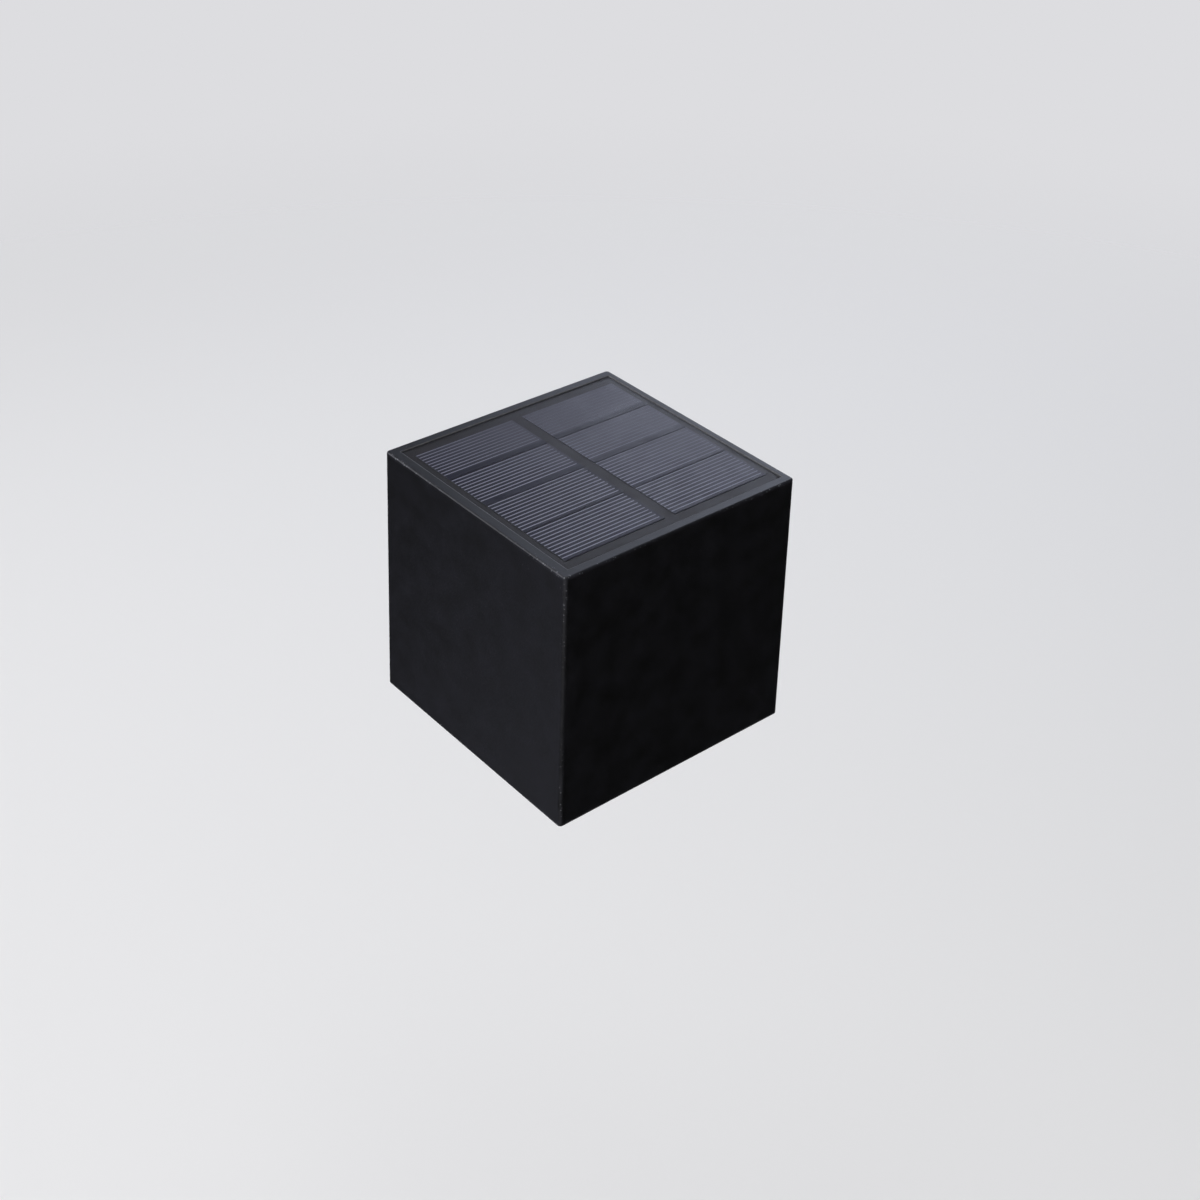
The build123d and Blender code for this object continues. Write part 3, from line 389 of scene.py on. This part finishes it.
def worn_abs(case):
    """Black ABS moulded in a spark-eroded cavity: a dull, finely grained near-black with faint clouds, rubbed
    and chipped along its edges, most at its corners, with a weathered film on top that is also painted sheen,
    pale grit in the gap round the panel that is also painted light over its shade, and a few pale specks."""
    material, tree, where = start_material("moulded_black_abs")
    edge, corner = edge_distances(tree, where)
    recess = recess_depth(tree, where)
    normal = add(tree, "ShaderNodeNewGeometry").outputs["Normal"]
    up = add(tree, "ShaderNodeSeparateXYZ", {0: normal}).outputs["Z"]
    worn_band = {"Value": edge, "From Min": case.worn_width, "From Max": 0.2 * MM}
    rub = add(tree, "ShaderNodeMapRange", worn_band, interpolation_type="SMOOTHSTEP").outputs["Result"]
    # Noise stirs the places of specks and chips, so that none is round.
    stir = add(tree, "ShaderNodeTexNoise", {"Vector": where, "Scale": 1 / case.grain}).outputs["Color"]
    shift = {0: stir, 1: (case.grain,) * 3, 2: where}
    stirred = add(tree, "ShaderNodeVectorMath", shift, operation="MULTIPLY_ADD").outputs[0]
    speck, chip = (
        add(tree, "ShaderNodeTexVoronoi", {"Vector": stirred, "Scale": 1 / spacing}).outputs["Distance"]
        for spacing in (case.speck_spacing, case.chip_spacing)
    )

    # Layers over the clouded plastic, from the lowest up: a colour, shares to multiply, and ramps that give
    # more of them. A ramp has what it reads, where it starts and ends, and its share at both.
    layers = [
        # Handling rubs the edges in patches, and most towards the corners.
        (case.worn, [rub, drift(tree, where, 5 * MM, 0.2, 1)], [(corner, 30 * MM, 3 * MM, 0.3, 1)]),
        # A weathered film lies on what faces up. Its paler tone is also painted sheen that lightens those
        # faces.
        (case.dust, [drift(tree, where, 2.5 * MM, 0.55, 1)], [(up, 0.6, 0.98, 0, 1)]),
        # Grit settles in the narrow gap round the panel and on the rim's inner edge. Its pale tone is also
        # painted light that lifts the shade in the gap.
        (case.speck, [drift(tree, where, 1.5 * MM, 0.6, 1)], [(recess, 0, 0.2 * MM, 0, 1)]),
        # Pale specks lie here and there, and more of them show near the edges.
        (case.speck, [], [(speck, 0.06, 0.03, 0, 1), (edge, 12 * MM, 1 * MM, 0.1, 0.6)]),
        # Small chips lie along the edges, thickest near the corners.
        (
            case.chip,
            [],
            [(chip, 0.3, 0.12, 0, 1), (edge, 1.2 * MM, 0.4 * MM, 0, 1), (corner, 40 * MM, 4 * MM, 0.05, 1)],
        ),
    ]
    clouds = {0: drift(tree, where, case.patch, 0, 1, 5.0), 6: (*case.dark, 1), 7: (*case.light, 1)}
    tone = add(tree, "ShaderNodeMix", clouds, data_type="RGBA").outputs[2]
    covers = []
    for layer, shares, ramps in layers:
        for value, start, end, low, high in ramps:
            span = {"Value": value, "From Min": start, "From Max": end, "To Min": low, "To Max": high}
            shares.append(add(tree, "ShaderNodeMapRange", span).outputs["Result"])
        cover = shares[0]
        for share in shares[1:]:
            cover = add(tree, "ShaderNodeMath", {0: cover, 1: share}, operation="MULTIPLY").outputs[0]
        over = {0: cover, 6: tone, 7: (*layer, 1)}
        tone = add(tree, "ShaderNodeMix", over, data_type="RGBA").outputs[2]
        covers.append(cover)

    # Rubbed plastic is a little smoother than the rest.
    rough = {0: covers[0], 2: drift(tree, where, case.patch, 0.38, 0.43), 3: 0.36}
    relief = {"Height": drift(tree, where, case.grain, 0, 1, 2.0), "Distance": case.grain_depth}
    end_material(tree, {
        "Base Color": tone,
        "Roughness": add(tree, "ShaderNodeMix", rough).outputs[0],
        "Normal": add(tree, "ShaderNodeBump", relief).outputs["Normal"],
        "IOR": ABS_IOR,
    })
    return material


def haze(tree, where):
    """How far the resin above a point is hazed: nothing towards the front right corner, and growing along one
    line across the panel until it is thickest towards the left of the wall."""
    on_line = {0: where, 1: (-math.sin(HAZE_TURN), math.cos(HAZE_TURN), 0)}
    across = add(tree, "ShaderNodeVectorMath", on_line, operation="DOT_PRODUCT").outputs["Value"]
    span = {"Value": across, "From Min": HAZE_START * MM, "From Max": HAZE_END * MM, "To Max": HAZE_MOST}
    return add(tree, "ShaderNodeMapRange", span, interpolation_type="SMOOTHSTEP").outputs["Result"]


def printed(tree, where, panel):
    """One where a column of cells carries fingers, and nothing on the bare margins between the columns. For
    each column the distance from its middle becomes a share that falls off past its last finger, and the
    shares are added."""
    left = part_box("solar_cells")[0].x
    x = add(tree, "ShaderNodeSeparateXYZ", {0: where}).outputs[0]
    fall = panel.finger_pitch / 3
    total = 0
    for start, count in zip(FINGER_STARTS, FINGER_COUNTS):
        half = count * panel.finger_pitch / 2
        middle = left + start * MM + half - panel.finger_pitch / 2
        offset = add(tree, "ShaderNodeMath", {0: x, 1: middle}, operation="SUBTRACT").outputs[0]
        away = add(tree, "ShaderNodeMath", {0: offset}, operation="ABSOLUTE").outputs[0]
        span = {"Value": away, "From Min": half + fall, "From Max": half - fall}
        share = add(tree, "ShaderNodeMapRange", span).outputs["Result"]
        total = add(tree, "ShaderNodeMath", {0: share, 1: total}, operation="ADD").outputs[0]
    return total


def through_haze(tree, where, panel, tone):
    """A tone of the cells as it shows through the resin. Haze scatters light about as far as from one finger
    to the next, so fingers and silicon run into their mean tone, and the wider margins of the cells stay
    clear."""
    share = panel.finger_width / panel.finger_pitch
    silicon = (panel.cell_dark + panel.cell_light) / 2
    mean = silicon * (1 - share) + panel.finger * share
    hazed_print = {0: haze(tree, where), 1: printed(tree, where, panel)}
    blurred = add(tree, "ShaderNodeMath", hazed_print, operation="MULTIPLY").outputs[0]
    tones = {0: blurred, 6: tone, 7: (*mean, 1)}
    return add(tree, "ShaderNodeMix", tones, data_type="RGBA").outputs[2]


def coated_silicon(panel):
    """Silicon cells with an anti-reflection coating: blue-black, each cell a shade of its own, with a faint
    cloudiness where the coating thins."""
    material, tree, where = start_material("coated_silicon_cells")
    low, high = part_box("solar_cells")
    pitch_x = (high.x - low.x + CELL_GAP * MM) / CELL_COLUMNS
    pitch_y = (high.y - low.y + ROW_GAP * MM) / CELL_ROWS
    corner = add(tree, "ShaderNodeVectorMath", {0: where, 1: low}, operation="SUBTRACT").outputs[0]
    cells = {0: corner, 1: (pitch_x, pitch_y, 1)}
    count = add(tree, "ShaderNodeVectorMath", cells, operation="DIVIDE").outputs[0]
    cell = add(tree, "ShaderNodeVectorMath", {0: count}, operation="FLOOR").outputs[0]
    shade = add(tree, "ShaderNodeTexWhiteNoise", {"Vector": cell}).outputs["Value"]
    clouds = drift(tree, where, 9 * MM, 0, 1)
    share = add(tree, "ShaderNodeMix", {0: 0.5, 2: shade, 3: clouds}).outputs[0]
    tones = {0: share, 6: (*panel.cell_dark, 1), 7: (*panel.cell_light, 1)}
    tone = add(tree, "ShaderNodeMix", tones, data_type="RGBA").outputs[2]
    tone = through_haze(tree, where, panel, tone)
    # The laser leaves the cut edges uncoated: bare grey silicon.
    normal = add(tree, "ShaderNodeNewGeometry").outputs["Normal"]
    up = add(tree, "ShaderNodeSeparateXYZ", {0: normal}).outputs["Z"]
    cut = add(tree, "ShaderNodeMath", {0: up, 1: 0.5}, operation="LESS_THAN").outputs[0]
    bare = {0: cut, 6: tone, 7: (*panel.cell_edge, 1)}
    end_material(tree, {
        "Base Color": add(tree, "ShaderNodeMix", bare, data_type="RGBA").outputs[2],
        "Roughness": drift(tree, where, 6 * MM, 0.3, 0.42),
        "IOR": 1.5,
        "Specular IOR Level": 0.27,
    })
    return material


def silver_paste(panel):
    """Silver paste fired on the silicon: dull grey, slightly granular."""
    material, tree, where = start_material("fired_silver_paste")
    relief = {"Height": drift(tree, where, 0.2 * MM, 0, 1, 2.0), "Distance": 0.005 * MM}
    end_material(tree, {
        "Base Color": through_haze(tree, where, panel, (*panel.finger, 1)),
        "Roughness": drift(tree, where, 8 * MM, 0.5, 0.6),
        "Normal": add(tree, "ShaderNodeBump", relief).outputs["Normal"],
        "Specular IOR Level": 0.3,
    })
    return material


def satin_resin(panel):
    """Clear resin cast over the cells, with a satin skin: it lets the cells through and lays a soft veil over
    them, thin towards the front right corner and weathered to a cloudy haze towards the left of the wall."""
    material, tree, where = start_material("clear_satin_resin")
    uneven = drift(tree, where, 16 * MM, 0.6, 1)
    hazed = add(tree, "ShaderNodeMath", {0: haze(tree, where), 1: uneven}, operation="MULTIPLY").outputs[0]
    end_material(tree, {
        "Base Color": (*panel.resin, 1),
        "Alpha": add(tree, "ShaderNodeMix", {0: hazed, 2: RESIN_VEIL, 3: RESIN_HAZE}).outputs[0],
        "Roughness": drift(tree, where, 11 * MM, 0.24, 0.34),
        "IOR": 1.5,
    })
    return material


# Pieces


class SOLARLIGHT_OT_case(bpy.types.Operator):
    """Finishes the housing, base plate, battery door, bracket and bay in black ABS"""

    bl_idname = "solar_light.case"
    bl_label = "Case"

    def execute(self, context):
        case = context.scene.solar_light_case
        dress(worn_abs(case), "housing")
        # The underside is sheltered: the same black ABS with its grain, but no rubbed edges or dust.
        plain = finish(
            "sheltered_black_abs", (case.dark + case.light) / 2, case.light, patch=case.patch / MM,
            grain=case.grain / MM, depth=case.grain_depth / MM, rough=(0.42, 0.48), IOR=ABS_IOR,
        )
        dress(plain, "base_plate", "battery_door")
        # The bracket comes from a smoother tool, so it is a little glossier and shows flow streaks.
        bracket = finish(
            "bracket_black_abs", case.dark, case.worn, patch=22, grain=0.8, depth=0.01, rough=(0.34, 0.46),
            stretch=(0.4, 1, 1), IOR=ABS_IOR,
        )
        dress(bracket, "wall_bracket")
        # The bay is polished inside so that the cell drops in easily.
        bay = finish(
            "bay_black_abs", case.dark, case.light, patch=16, grain=1.0, depth=0.01, rough=(0.3, 0.4),
            IOR=ABS_IOR,
        )
        dress(bay, "battery_bay")
        return {"FINISHED"}


class SOLARLIGHT_OT_panel(bpy.types.Operator):
    """Builds the printed fingers and the resin cover, and finishes the cells, backing and tape"""

    bl_idname = "solar_light.panel"
    bl_label = "Solar panel"

    def execute(self, context):
        panel = context.scene.solar_light_panel
        dress(coated_silicon(panel), "solar_cells")
        # Laminate backing: dull, faintly brown black, with the weave of its glass cloth just showing.
        backing = finish(
            "black_glass_laminate", panel.backing, linear("#262322"), patch=6, grain=0.6, depth=0.004,
            rough=(0.4, 0.5), Specular_IOR_Level=0.35,
        )
        dress(backing, "panel_board")
        # Foam tape: dark grey, open cells about a third of a millimetre wide.
        tape = finish(
            "dark_foam_tape", linear("#26272a"), linear("#3a3b3e"), patch=3, grain=0.35, depth=0.1,
            rough=(0.8, 0.95),
        )
        dress(tape, "panel_tape")
        self.fingers(panel)
        self.cover(panel)
        return {"FINISHED"}

    def fingers(self, panel):
        """Each finger is a low arch, half an ellipse over a flat foot, carried along Y and drawn to a point
        at both ends."""
        low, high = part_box("solar_cells")
        depth = (high.y - low.y - (CELL_ROWS - 1) * ROW_GAP * MM) / CELL_ROWS
        pitch = panel.finger_pitch
        columns = zip(FINGER_STARTS, FINGER_COUNTS)
        x = np.concatenate([low.x + start * MM + np.arange(count) * pitch for start, count in columns])
        front = low.y + np.arange(CELL_ROWS) * (depth + ROW_GAP * MM)
        x, front = (values.ravel() for values in np.meshgrid(x, front))
        start = FINGER_FRONT_MARGIN * MM
        end = depth - FINGER_BACK_MARGIN * MM
        tip = FINGER_TIP * MM
        along = np.array([start, start, start + tip, depth / 2, end - tip, end, end])
        width = np.array([0, 0.4, 1, 1, 1, 0.4, 0]) * panel.finger_width / 2
        arch = np.linspace(0, math.pi, 7)
        across = np.cos(arch)
        height = np.sin(arch) * FINGER_HEIGHT * MM
        shape = (len(x), len(along), len(arch))
        grid = np.empty((*shape, 3))
        grid[..., 0] = x[:, None, None] + width[:, None] * across
        grid[..., 1] = front[:, None, None] + along[:, None]
        grid[..., 2] = high.z + (width > 0)[:, None] * height
        piece = skin("cell_fingers", grid, wrap_columns=True)
        place(piece, "lamp", "silicon", silver_paste(panel))

    def cover(self, panel):
        """A slab whose profile rises up its side, turns over its edge on a quarter round and runs flat to the
        middle, carried round a rounded rectangle."""
        low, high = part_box("panel_resin")
        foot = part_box("solar_cells")[1].z + (FINGER_HEIGHT + COVER_LIFT) * MM
        edge = COVER_EDGE * MM
        turn = np.linspace(0, math.pi / 2, 7)
        middle = (high.y - low.y) / 2
        insets = np.concatenate([[middle, 0], edge * (1 - np.cos(turn)), [middle]])
        heights = np.concatenate([[foot, foot], high.z - edge * (1 - np.sin(turn)), [high.z]])
        grid = round_rectangle(low, high, insets, heights, COVER_CORNER * MM)
        piece = skin("resin_cover", grid[None], wrap_columns=True)
        place(piece, "lamp", "epoxy_resin", satin_resin(panel), "panel_resin")


class SOLARLIGHT_OT_lens(bpy.types.Operator):
    """Finishes the opal lens, the reflector and the push button"""

    bl_idname = "solar_light.lens"
    bl_label = "Lens and button"

    def execute(self, context):
        fittings = context.scene.solar_light_fittings
        # Opal acrylic: milky white that glows a little at its edges, with a soft moulded gloss.
        opal = finish(
            "opal_acrylic", fittings.opal, linear("#ece9e1"), patch=40, grain=1.2, depth=0.005,
            rough=(0.24, 0.28), IOR=1.49, Subsurface_Weight=0.4, Subsurface_Radius=(0.004, 0.0036, 0.003),
        )
        dress(opal, "diffuser")
        # White polycarbonate: bright, even and slightly glossy.
        white = finish(
            "white_polycarbonate", linear("#e4e4e0"), linear("#f0f0ec"), patch=12, grain=0.8, depth=0.004,
            rough=(0.25, 0.35),
        )
        dress(white, "reflector")
        # The button is a smoother, slightly paler black, rubbed by fingers.
        button = finish(
            "button_black_abs", linear("#1b1c1e"), linear("#2a2b2e"), patch=3, grain=0.5, depth=0.006,
            rough=(0.3, 0.45), IOR=ABS_IOR,
        )
        dress(button, "power_button")
        return {"FINISHED"}


class SOLARLIGHT_OT_battery(bpy.types.Operator):
    """Builds the battery's steel can and shrunk sleeve, and finishes its contacts"""

    bl_idname = "solar_light.battery"
    bl_label = "Battery"

    def execute(self, context):
        fittings = context.scene.solar_light_fittings
        low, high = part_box("battery_cell")
        centre = (low + high) / 2
        radius = (high.z - low.z) / 2
        shoulder = high.x - NUB_LENGTH * MM
        # Nickel plate: bright, faintly yellow, with drawing marks round the can.
        nickel = finish(
            "nickel_plated_steel", fittings.nickel, linear("#d3cfc4"), patch=5, grain=0.15, depth=0.003,
            rough=(0.22, 0.36), stretch=(0.15, 1, 1), Metallic=1.0,
        )
        dress(nickel, "contact_negative", "contact_positive")
        # PVC shrunk tight over the can: even colour, soft gloss, faint lengthwise draw lines.
        sleeve = finish(
            "shrunk_pvc_sleeve", fittings.sleeve, linear("#5b8aa6"), patch=8, grain=0.6, depth=0.006,
            rough=(0.26, 0.36), stretch=(0.2, 1, 1), IOR=1.53,
        )
        can = self.can(low.x, shoulder, high.x, radius)
        piece = skin("battery_can", lathe_x(can, centre)[None], wrap_columns=True)
        place(piece, "lamp", "nickel_strip", nickel, "battery_cell")
        wrap = self.sleeve(low.x, shoulder, radius)
        piece = skin("battery_sleeve", lathe_x(wrap, centre)[None], wrap_rows=True, wrap_columns=True)
        place(piece, "lamp", "battery_sleeve", sleeve, "battery_cell")
        return {"FINISHED"}

    def can(self, left, shoulder, right, radius):
        """Profile of the can: from its flat base, round its side on quarter rounds, in to the cap and over
        the cap's own quarter round."""
        turn = np.linspace(0, math.pi / 2, 6)
        in_x = 1 - np.sin(turn)
        in_r = 1 - np.cos(turn)
        inset = 2 * SLEEVE_THICK * MM
        base = left + inset
        top = shoulder - inset
        side = radius - SLEEVE_THICK * MM
        bend = CAN_BEND * MM
        cap = NUB_RADIUS * MM
        cap_bend = NUB_BEND * MM
        x = [[base], (base + bend * in_x)[::-1], top - bend * in_x, [top], right - cap_bend * in_x, [right]]
        r = [[0], (side - bend * in_r)[::-1], side - bend * in_r, [cap], cap - cap_bend * in_r, [0]]
        return np.stack([np.concatenate(x), np.concatenate(r)], axis=-1)

    def sleeve(self, left, shoulder, radius):
        """Closed profile of the sleeve: out along the side, folded over both ends on quarter rounds, and back
        on the inside."""
        turn = np.linspace(0, math.pi / 2, 7)
        bend = CAN_BEND * MM
        by_sine = bend * (1 - np.sin(turn))
        by_cosine = bend * (1 - np.cos(turn))
        fold = radius - SLEEVE_FOLD * MM
        thick = SLEEVE_THICK * MM
        outer_x = np.concatenate([[left], left + by_cosine, shoulder - by_sine, [shoulder]])
        outer_r = np.concatenate([[fold], radius - by_sine, radius - by_cosine, [fold]])
        inner_x = np.clip(outer_x, left + thick, shoulder - thick)[::-1]
        inner_r = np.minimum(outer_r, radius - thick)[::-1]
        return np.stack([np.concatenate([outer_x, inner_x]), np.concatenate([outer_r, inner_r])], axis=-1)


class SOLARLIGHT_OT_metal(bpy.types.Operator):
    """Finishes the screws and the hinge pin in stainless steel"""

    bl_idname = "solar_light.metal"
    bl_label = "Screws and pin"

    def execute(self, context):
        steel = context.scene.solar_light_fittings.steel
        # Stainless steel, cold headed: grey, satin, with a slight grain.
        stainless = finish(
            "satin_stainless_steel", steel, linear("#c6c4bf"), patch=1.5, grain=0.12, depth=0.004,
            rough=(0.28, 0.42), Metallic=1.0,
        )
        dress(stainless, "base_screws", "board_screws", "door_screw", "hinge_pin")
        return {"FINISHED"}


class SOLARLIGHT_OT_seals(bpy.types.Operator):
    """Finishes the silicone seals and the lead grommet"""

    bl_idname = "solar_light.seals"
    bl_label = "Seals"

    def execute(self, context):
        # Moulded silicone: soft dark grey with a dusty, matte bloom.
        silicone = finish(
            "grey_silicone", linear("#34363a"), linear("#44464a"), patch=4, grain=0.3, depth=0.01,
            rough=(0.55, 0.75), IOR=1.42,
        )
        dress(silicone, "base_seal", "diffuser_seal", "door_seal", "button_seal", "lead_grommet")
        return {"FINISHED"}


class SOLARLIGHT_OT_electronics(bpy.types.Operator):
    """Finishes the circuit board, what is soldered to it, and the leads"""

    bl_idname = "solar_light.electronics"
    bl_label = "Electronics"

    def execute(self, context):
        # Each row: nodes, finish, dark and light tone, patch, grain and depth in mm, and range of roughness.
        rows = [
            # Glass-epoxy board under white solder mask, as lamp boards are: chalky white, faint weave.
            (["circuit_board"], "white_solder_mask", "#d5d8d2", "#e2e4df", 8, 0.5, 0.01, (0.35, 0.45)),
            # Light-emitting diodes: yellow phosphor gel in a white cup.
            (["leds"], "phosphor_gel", "#d9c24a", "#e8d67c", 1.2, 0.2, 0.01, (0.3, 0.4)),
            # Moulded chip resin: matte black with a sandy grain.
            (["driver_chip"], "chip_resin", "#151516", "#202022", 2, 0.15, 0.01, (0.6, 0.7)),
            # Sintered ferrite: charcoal, dry, speckled.
            (["inductor"], "sintered_ferrite", "#2a2a2c", "#3b3b3d", 1, 0.15, 0.02, (0.55, 0.7)),
            # Drawn aluminium can: bright with a soft grain.
            (["capacitor"], "drawn_aluminium", "#b9bbbd", "#cdcfd1", 2, 0.12, 0.004, (0.25, 0.4)),
            # Natural nylon: milky white.
            (["lead_sockets"], "natural_nylon", "#dcd8cc", "#e8e5da", 4, 0.4, 0.006, (0.35, 0.5)),
            # Glass-filled nylon of the switch: dark grey with short pale fibres.
            (SWITCH, "filled_nylon", "#222326", "#34363a", 1.5, 0.25, 0.01, (0.45, 0.6)),
            # PVC insulation: even colour and soft gloss.
            (RED_LEADS, "red_pvc", "#8c1f1b", "#a12822", 6, 0.4, 0.005, (0.3, 0.42)),
            (BLACK_LEADS, "black_pvc", "#151517", "#212124", 6, 0.4, 0.005, (0.3, 0.42)),
        ]
        for nodes, name, dark, light, patch, grain, depth, rough in rows:
            metal = float(name in METALS)
            look = finish(name, linear(dark), linear(light), patch, grain, depth, rough, Metallic=metal)
            dress(look, *nodes)
        return {"FINISHED"}


class SOLARLIGHT_OT_stage(bpy.types.Operator):
    """Sets up the camera, the floor and the soft lights"""

    bl_idname = "solar_light.stage"
    bl_label = "Stage"

    def execute(self, context):
        stage = context.scene.solar_light_stage
        self.camera(context.scene, stage)
        self.floor(stage)
        self.backdrop(stage)
        self.room(context.scene, stage)
        # Each row: name, power, size and place in metres, tint, and the point that it faces.
        white = (1.0, 1.0, 1.0)
        pale = (0.97, 0.97, 1.0)
        over_card = Vector((-0.4, 0.4, 0))
        under_wash = Vector((-0.7, 0.6, -stage.floor_drop))
        rows = [
            ("top_softbox", stage.top_power, (1.3, 1.1), (-1.35, 1.78, 1.1), (0.76, 0.82, 1.0), AIM),
            ("key_softbox", stage.key_power, (1.6, 1.6), (-1.55, -1.4, 1.35), (0.93, 0.94, 1.0), AIM),
            ("ceiling_softbox", stage.ceiling_power, (1.5, 1.5), (0.2, -0.3, 2.2), white, AIM),
            ("edge_card", stage.edge_power, (0.8, 0.3), (0.42, -0.66, -0.3), pale, AIM),
            ("front_card", stage.front_power, (0.4, 0.6), (-0.37, -0.62, -0.48), (0.8, 0.82, 1.0), AIM),
            ("side_card", stage.side_power, (0.6, 0.5), (1.2, -0.2, -0.05), pale, AIM),
            ("face_card", stage.face_power, (0.6, 0.5), (0.25, -1.2, -0.05), pale, AIM),
            ("under_card", stage.under_power, (0.8, 0.8), (-0.4, 0.4, -0.5), white, over_card),
            ("floor_wash", stage.wash_power, (4.0, 4.0), (-0.7, 0.6, -0.08), white, under_wash),
        ]
        for row in rows:
            self.softbox(*row)
        return {"FINISHED"}

    def camera(self, scene, stage):
        """Looks at the aim point from the photograph's angle, rolled about the line of sight."""
        flat = math.cos(stage.elevation)
        back = Vector((
            math.sin(stage.azimuth) * flat,
            -math.cos(stage.azimuth) * flat,
            math.sin(stage.elevation),
        ))
        camera = bpy.data.objects.new("camera", bpy.data.cameras.new("camera"))
        camera.data.lens = stage.lens
        camera.data.clip_start = 0.01
        camera.rotation_mode = "QUATERNION"
        camera.location = AIM + back * stage.distance
        camera.rotation_quaternion = Quaternion(-back, stage.roll) @ (-back).to_track_quat("-Z", "Y")
        scene.collection.objects.link(camera)
        scene.camera = camera

    def floor(self, stage):
        """A flat square, far enough below the lamp to leave its underside in sight."""
        reach = np.linspace(-FLOOR_REACH, FLOOR_REACH, 9)
        x, y = np.meshgrid(reach, reach)
        grid = np.stack([x, y, np.full_like(x, -stage.floor_drop)], axis=-1)
        piece = skin("floor", grid[None])
        material, tree, where = start_material("pale_floor")
        # The floor thins out to its rim, so that it passes into the backdrop without a line.
        level = add(tree, "ShaderNodeVectorMath", {0: where, 1: (1, 1, 0)}, operation="MULTIPLY").outputs[0]
        away = add(tree, "ShaderNodeVectorMath", {0: level}, operation="LENGTH").outputs["Value"]
        span = {"Value": away, "From Min": FLOOR_REACH, "From Max": FLOOR_REACH / 2}
        fade = add(tree, "ShaderNodeMapRange", span, interpolation_type="SMOOTHSTEP").outputs["Result"]
        end_material(tree, {
            "Base Color": (*stage.floor, 1),
            "Roughness": 0.9,
            "Specular IOR Level": 0.1,
            "Alpha": fade,
        })
        piece.data.materials.append(material)
        # Black plastic would mirror a pale floor. Outdoors what lies below is dark, so reflections miss it.
        piece.visible_glossy = False

    def backdrop(self, stage):
        """A ball round the whole set, flattened at floor level and seen by the camera alone: x is its radius
        times the cosine of the turn, the distance from the X axis its radius times the sine."""
        turn = np.linspace(0, math.pi, 33)
        profile = BACKDROP_RADIUS * np.stack([np.cos(turn), np.sin(turn)], axis=-1)
        grid = lathe_x(profile, (0, 0, 0))
        grid[..., 2] = np.maximum(grid[..., 2], -stage.floor_drop - FLOOR_GAP)
        piece = skin("backdrop", grid[None], wrap_columns=True)
        material, tree, _ = start_material("pale_backdrop")
        end_material(tree, {
            "Base Color": (0, 0, 0, 1),
            "Specular IOR Level": 0.0,
            "Emission Color": (*stage.backdrop, 1),
            "Emission Strength": 1.0,
        })
        piece.data.materials.append(material)
        piece.visible_diffuse = False
        piece.visible_glossy = False
        piece.visible_transmission = False
        piece.visible_shadow = False

    def room(self, scene, stage):
        """Even light from all round, and plain colour without a film curve."""
        world = bpy.data.worlds.new("room")
        world.use_nodes = True
        background = world.node_tree.nodes["Background"]
        background.inputs["Color"].default_value = (1, 1, 1, 1)
        background.inputs["Strength"].default_value = stage.sky
        scene.world = world
        scene.view_settings.view_transform = "Standard"

    def softbox(self, name, power, size, spot, tint, aim):
        """A flat softbox turned to a point."""
        light = bpy.data.lights.new(name, "AREA")
        light.energy = power
        light.shape = "RECTANGLE"
        light.size, light.size_y = size
        light.color = tint
        box = bpy.data.objects.new(name, light)
        box.location = spot
        box.rotation_mode = "QUATERNION"
        box.rotation_quaternion = (aim - Vector(spot)).to_track_quat("-Z", "Y")
        box.visible_camera = False
        bpy.context.scene.collection.objects.link(box)


OPERATORS = (
    SOLARLIGHT_OT_case,
    SOLARLIGHT_OT_panel,
    SOLARLIGHT_OT_lens,
    SOLARLIGHT_OT_battery,
    SOLARLIGHT_OT_metal,
    SOLARLIGHT_OT_seals,
    SOLARLIGHT_OT_electronics,
    SOLARLIGHT_OT_stage,
)


class SOLARLIGHT_PT_sidebar(bpy.types.Panel):
    """Lists the lamp's settings and the operators that build it"""

    bl_idname = "SOLARLIGHT_PT_sidebar"
    bl_label = "Solar light"
    bl_space_type = "VIEW_3D"
    bl_region_type = "UI"
    bl_category = "Solar light"

    def draw(self, context):
        for group, kind in GROUPS.items():
            box = self.layout.box()
            box.label(text=kind.__doc__)
            for name in kind.__annotations__:
                box.prop(getattr(context.scene, group), name)
        for operator in OPERATORS:
            self.layout.operator(operator.bl_idname)


def register():
    for kind in (*GROUPS.values(), *OPERATORS, SOLARLIGHT_PT_sidebar):
        bpy.utils.register_class(kind)
    for name, kind in GROUPS.items():
        setattr(bpy.types.Scene, name, PointerProperty(type=kind))


def unregister():
    for name in GROUPS:
        delattr(bpy.types.Scene, name)
    for kind in (SOLARLIGHT_PT_sidebar, *reversed(OPERATORS), *reversed(GROUPS.values())):
        bpy.utils.unregister_class(kind)


def main():
    """Builds every piece and the stage."""
    register()
    bpy.ops.solar_light.case()
    bpy.ops.solar_light.panel()
    bpy.ops.solar_light.lens()
    bpy.ops.solar_light.battery()
    bpy.ops.solar_light.metal()
    bpy.ops.solar_light.seals()
    bpy.ops.solar_light.electronics()
    bpy.ops.solar_light.stage()


if __name__ == "__main__":
    main()
